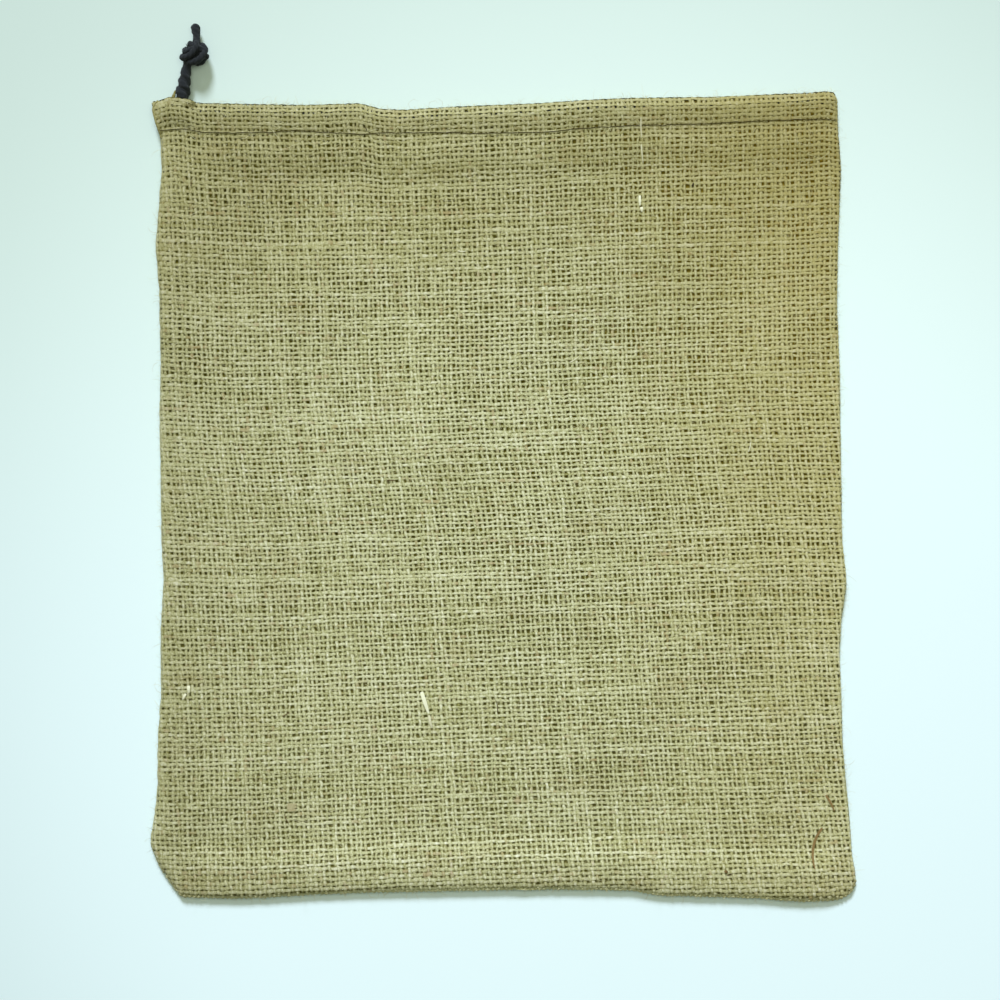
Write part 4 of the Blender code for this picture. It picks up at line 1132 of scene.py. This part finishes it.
# the hem's stitching: one dark thread that dips in at each hole
def stitchLine(surface, sign, xs):
    y = stitchAt(xs) + 0.32 * softNoise(xs, 0 * xs, 2.7, 81)
    lift = hem["threadRadius"] * (1.6 * np.abs(np.sin(np.pi * xs / hem["stitchLength"])) ** 0.5 - 0.6)
    return surface(xs, y) + outwards(surface, xs, y, sign) * (lift[:, None] - 0.06)


threadFinish = Finish("threadDark", {"Roughness": 0.85, "Specular IOR Level": 0.10})
threadTone = threadFinish.noise(threadFinish.place(), 900.0)
threadFinish.feed("Base Color", threadFinish.mix(threadTone, (0.024, 0.018, 0.005), (0.064, 0.050, 0.014)))
stitchX = np.arange(-152.6, 149.0, 0.42)
stitchParts = [tubeParts(stitchLine(clothAt, 1, stitchX), hem["threadRadius"], 6, columns=12),
               tubeParts(stitchLine(underAt, -1, stitchX[::2]) + (0, 0, 0.30), hem["threadRadius"], 5, columns=12)]
hemStitch = joined("hemStitch", stitchParts, threadFinish.material, 2)
print("stitching made")


# loose fibres, as thin ribbons
fuzz = {
    "surface": 15500,
    "edge": 1900,
    "tones": [(0.0, (0.300, 0.245, 0.090)), (0.45, (0.540, 0.520, 0.240)), (1.0, (0.780, 0.780, 0.460))],
    "width": 0.075,
    "loops": [  # longer ones at the edges: from x, y, z, which way, how long, how much they curl
        (-107.0, 174.6, 5.0, 1.9, 7.0, -2.6), (-126.5, 175.2, 5.0, 1.0, 5.0, -2.2),
        (-118.0, 175.0, 5.0, 1.3, 4.2, -2.6), (-41.0, 172.4, 5.0, 2.4, 9.0, -3.4),
        (-33.0, 173.2, 5.0, 1.8, 7.5, -3.0), (-27.0, 173.6, 5.0, 1.1, 6.0, 2.4), (8.0, 175.0, 5.0, 1.7, 4.0, -2.0),
        (96.0, 178.4, 5.0, 1.2, 4.4, 2.4), (-154.0, 60.0, 3.0, 3.4, 5.6, 1.8), (-152.6, -88.0, 3.0, 2.9, 6.4, -1.8),
        (-154.8, 118.0, 3.0, 3.3, 5.0, -1.6), (151.2, 40.0, 2.4, 0.3, 4.6, 1.8),
        (153.2, -120.0, 2.4, -0.3, 5.4, 1.6), (-60.0, -177.2, 3.0, -1.5, 4.4, 2.0),
        (40.0, -175.8, 3.0, -1.8, 3.8, -2.2), (118.0, -179.8, 3.0, -1.2, 4.6, 1.8),
    ],
}


def ribbons(starts, headings, lengths, curls, lifts, widths, surface=None, steps=4):
    at = np.linspace(0, 1, steps)
    flat, heading = starts[:, :2], np.array(headings, float)
    line, ways = np.zeros((len(starts), steps, 3)), np.zeros((len(starts), steps, 3))
    for k in range(steps):
        way = np.stack([np.cos(heading), np.sin(heading)], 1)
        ways[:, k, :2], line[:, k, :2] = way, flat
        flat = flat + way * (lengths / (steps - 1))[:, None]
        heading = heading + curls / (steps - 1)
    if surface is not None:
        line = surface(line[:, :, 0], line[:, :, 1])
        line[..., 2] += lifts[:, None] * (0.35 + np.sin(np.pi * at)[None, :])
    else:
        line[..., 2] = np.maximum(starts[:, 2:] + lifts[:, None] * at - 1.2 * at ** 2, 0.12)
    sideways = np.stack([-ways[..., 1], ways[..., 0], ways[..., 2]], -1)
    taper = np.interp(at, [0, 0.1, 0.33, 0.66, 0.88, 1], [0.8, 0.95, 1, 0.9, 0.65, 0.35])[None, :, None]
    half = widths[:, None, None] / 2 * taper
    return np.stack([line - sideways * half, line + sideways * half], 2)


def ribbonPiece(name, points, tones, material):
    count, steps = points.shape[:2]
    faces = quadsOf(np.arange(count * steps * 2).reshape(count, steps, 2).swapaxes(1, 2)).reshape(-1, 4)
    grid = int(math.ceil(math.sqrt(count)))
    cell = np.stack([np.arange(count) % grid, np.arange(count) // grid], -1)[:, None, None, :]
    inner = np.stack(np.meshgrid(np.linspace(0.1, 0.9, steps), (0.15, 0.85), indexing="ij"), -1)[None]
    uv = ((cell + inner) / grid).reshape(-1, 2)
    return meshPiece(name, points.reshape(-1, 3), faces, material, uv, None, tintOf(np.repeat(tones, steps * 2)))


def surfaceFuzz(chance, count):
    x = chance.uniform(-151, 150, count)
    low, high = edge("bottom", x) + 3, edge("top", x) - 1.5
    y = low + (high - low) * chance.uniform(0, 1, count)
    along = np.where(chance.uniform(0, 1, count) < 0.55, 0.0, np.pi / 2) + np.pi * chance.integers(0, 2, count)
    heading = along + chance.normal(0, 0.42, count)
    lengths = np.minimum(chance.gamma(2.6, 0.95, count) + 0.8, 8.0)
    near = (x + lengths * np.cos(heading) < -150) | (x + lengths * np.cos(heading) > 148)
    heading = np.where(near, np.pi - heading, heading)
    lifts = np.abs(chance.normal(0.10, 0.10, count))
    widths = fuzz["width"] * chance.uniform(0.7, 1.9, count)
    made = ribbons(np.stack([x, y], 1), heading, lengths, chance.normal(0, 0.9, count), lifts, widths, clothAt)
    golden = smoothStep((x + 20) / 120) * smoothStep((y + 60) / 160)
    return made, chance.uniform(0.25, 1.0, count) * (1 - 0.35 * golden)


def edgeFuzz(chance, count):
    which = chance.choice(4, count, p=[0.26, 0.28, 0.24, 0.22])  # left, top, bottom or right
    share = chance.uniform(0, 1, count)
    x, y = lerp(-150.0, 148.0, share), lerp(-172.0, 176.0, share)
    startX = np.choose(which, [edge("left", y) + 0.5, x, x, edge("right", y) - 0.5])
    startX = np.where((which == 1) & (startX < -136), startX + 40, startX)
    startY = np.choose(which, [y, edge("top", startX) - 0.5, edge("bottom", x) + 0.5, y])
    startZ = np.choose(which, [2.6, 4.6, 2.6, 2.2]) + chance.normal(0, 0.7, count)
    lengths = np.minimum(0.6 + chance.gamma(1.5, 0.85, count), 7.5)
    heading = np.choose(which, [np.pi, np.pi / 2, -np.pi / 2, 0.0]) + chance.normal(0, 0.75, count)
    curls, lifts = chance.normal(0, 1.5, count), chance.normal(0.3, 1.0, count)
    widths = fuzz["width"] * chance.uniform(0.5, 1.1, count)
    made = ribbons(np.stack([startX, startY, startZ], 1), heading, lengths, curls, lifts, widths)
    return made, chance.uniform(0.1, 0.8, count)


def fuzzPiece():
    chance = np.random.default_rng(91)
    top, topTones = surfaceFuzz(chance, fuzz["surface"])
    sides, sideTones = edgeFuzz(chance, fuzz["edge"])
    table = np.array(fuzz["loops"])
    even = np.ones(len(table))
    loops = ribbons(table[:, :3], table[:, 3], table[:, 4], table[:, 5], 0.8 * even, fuzz["width"] * 1.1 * even,
                    None, 12)[:, [0, 4, 8, 11]]
    return ribbonPiece("juteFuzz", np.concatenate([top, sides, loops]),
                       np.concatenate([topTones, sideTones, 0.25 * even]), fibreFinish.material)


fibreFinish = Finish("juteFibre", {"Roughness": 0.9, "Specular IOR Level": 0.15})
fibreFinish.feed("Base Color", fibreFinish.add("ValToRGB", {"Fac": fibreFinish.tint()[0]}, stops=fuzz["tones"]))
juteFuzz = fuzzPiece()
print("loose fibres made")

# bits caught in the cloth: where, which way, how long and wide, how much they curl, and how dark
bits = [
    (-139.0, 138.4, 1.4, 3.0, 0.42, 0.4, 0.10), (-2.2, -97.0, 1.5, 6.4, 0.36, 0.5, 0.08),
    (-98.3, -98.2, 0.3, 3.4, 0.40, 0.6, 0.12), (100.3, -169.0, 0.2, 2.6, 0.50, 0.3, 0.06),
    (-51.5, 7.2, 0.1, 3.8, 0.50, -0.3, 0.10), (84.6, 138.6, 0.7, 1.9, 0.75, 1.2, 0.02),
    (-97.4, -142.0, -1.4, 5.2, 0.34, 0.5, 0.10), (-105.0, 160.9, 1.2, 1.0, 0.4, 0.5, 0.15),
    (143.0, -148.4, -2.22, 19.0, 1.15, 1.0, 0.27), (144.6, -133.6, -0.95, 8.0, 0.90, -0.3, 0.27),
    (-36.2, -87.5, -1.255, 10.2, 1.70, 0.0, 0.99), (-32.8, -98.0, -1.45, 5.8, 1.10, 0.25, 0.82),
    (61.7, 169.0, -1.58, 9.0, 0.55, 0.10, 0.78), (61.9, 157.0, -1.50, 8.0, 0.60, 0.10, 0.80),
    (61.4, 134.6, -1.60, 4.6, 1.15, 0.10, 0.94), (62.1, 129.4, -1.45, 2.2, 1.3, 0.10, 0.90),
    (-140.0, -84.4, -1.55, 3.2, 1.3, 0.1, 0.93), (-141.2, -88.0, -2.2, 3.0, 1.1, 0.3, 0.90),
    (-96.2, -137.9, 0.02, 4.2, 1.3, 0.1, 0.63), (-96.3, -139.1, 0.02, 4.4, 1.3, 0.1, 0.64),
    (-96.1, -140.3, 0.02, 4.0, 1.2, 0.1, 0.62), (99.3, -166.8, -0.9, 1.6, 1.3, 0.3, 0.16),
    (-60.8, 163.0, 1.1, 2.4, 0.34, 2.6, 0.05), (30.0, 60.0, 0.4, 5.0, 0.5, 0.4, 0.85),
    (-20.0, 110.0, -0.3, 4.0, 0.5, 0.6, 0.88), (110.0, 20.0, 1.2, 4.6, 0.5, 0.3, 0.86),
]

bitsFinish = Finish("juteBit", {"Roughness": 0.85, "Specular IOR Level": 0.15})
bitsTone = bitsFinish.tint()[0] + bitsFinish.noise(bitsFinish.place(), 1500.0) * 0.16 - 0.08
bitsStops = [(0.0, (0.018, 0.016, 0.008)), (0.25, (0.235, 0.155, 0.050)), (0.60, (0.400, 0.360, 0.170)),
             (1.0, (0.860, 0.890, 0.600))]
bitsFinish.feed("Base Color", bitsFinish.add("ValToRGB", {"Fac": bitsTone}, stops=bitsStops))
bitsX, bitsY, heading, length, wide, curl, tone = np.array(bits).T
bitsPoints = ribbons(np.stack([bitsX, bitsY], 1), heading, length, curl, 0.12 + 0.14 * wide, wide, clothAt, 12)
juteBits = ribbonPiece("juteBits", bitsPoints, tone, bitsFinish.material)
print("bits made")


# floor and light
room = {
    "floor": (0.800, 0.985, 0.935),
    "corners": (0.588, 0.742, 0.668),  # the floor's tone far out: painted shade round the painted pool of light
    "upper": (1.0, 1.0, 0.945),  # what is left of its colour towards the top
    "clear": (0.065, -0.125, 0),  # the middle of the painted pool of light
    "lightPoolEnds": (0.18, 0.47),
    "fill": 0.215,
    "fillColour": (0.990, 1.0, 0.80, 1),
    "softbox": {"shape": "RECTANGLE", "size": 0.45, "size_y": 0.35, "energy": 1.65, "color": (0.990, 1.0, 0.89)},
    "softPlace": (0.02, 0.13, 0.74),
    "softAim": (0.02, 0.00, 0.0),
    "sun": {"energy": 3.12, "color": (0.970, 1.0, 1.24), "angle": math.radians(15.0)},
    "sunAim": (0.20, -1.40, -1.0),  # which way the light falls
}

bpy.ops.object.select_all(action="DESELECT")
bpy.ops.mesh.primitive_plane_add(size=6.0, location=(0, 0, -0.0002))
floor = bpy.context.object
floor.name = "floor"
floorFinish = Finish("paleFloor", {"Roughness": 0.6})
# painted pool of light: the floor lighter round the clear middle, painted shade towards the corners
away = floorFinish.add("VectorMath", {0: floorFinish.place((1, 1, 0)), 1: room["clear"]}, 1, operation="DISTANCE")
share = floorFinish.rise(away, *room["lightPoolEnds"], kind="SMOOTHSTEP")
upper = floorFinish.drifts({"upper": ("up", -0.10, 0.17)}, "SMOOTHSTEP")["upper"]
floorColour = floorFinish.mix(share, room["floor"], room["corners"])
floorFinish.feed("Base Color", floorFinish.mix(upper, floorColour, room["upper"], "MULTIPLY"))
floor.data.materials.append(floorFinish.material)

scene.world = scene.world or bpy.data.worlds.new("world")
scene.world.use_nodes = True
background = scene.world.node_tree.nodes["Background"]
background.inputs["Color"].default_value = room["fillColour"]
background.inputs["Strength"].default_value = room["fill"]


def lamp(name, kind, aim):  # aim: which way its light goes
    data = bpy.data.lights.new(name, kind)
    for key, value in room[name].items():
        setattr(data, key, value)
    made = linked(name, data)
    made.rotation_euler = Vector(aim).to_track_quat("-Z", "Y").to_euler()
    return made


lamp("softbox", "AREA", Vector(room["softAim"]) - Vector(room["softPlace"])).location = room["softPlace"]
lamp("sun", "SUN", room["sunAim"])
print("floor and light ready")

for piece in [sackSheet, *front, *back, seamPiece, hemStitch, juteFuzz, juteBits]:
    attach(piece, "root")
for piece in [drawcord, drawcordKnot, drawcordEnd]:
    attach(piece, "root")
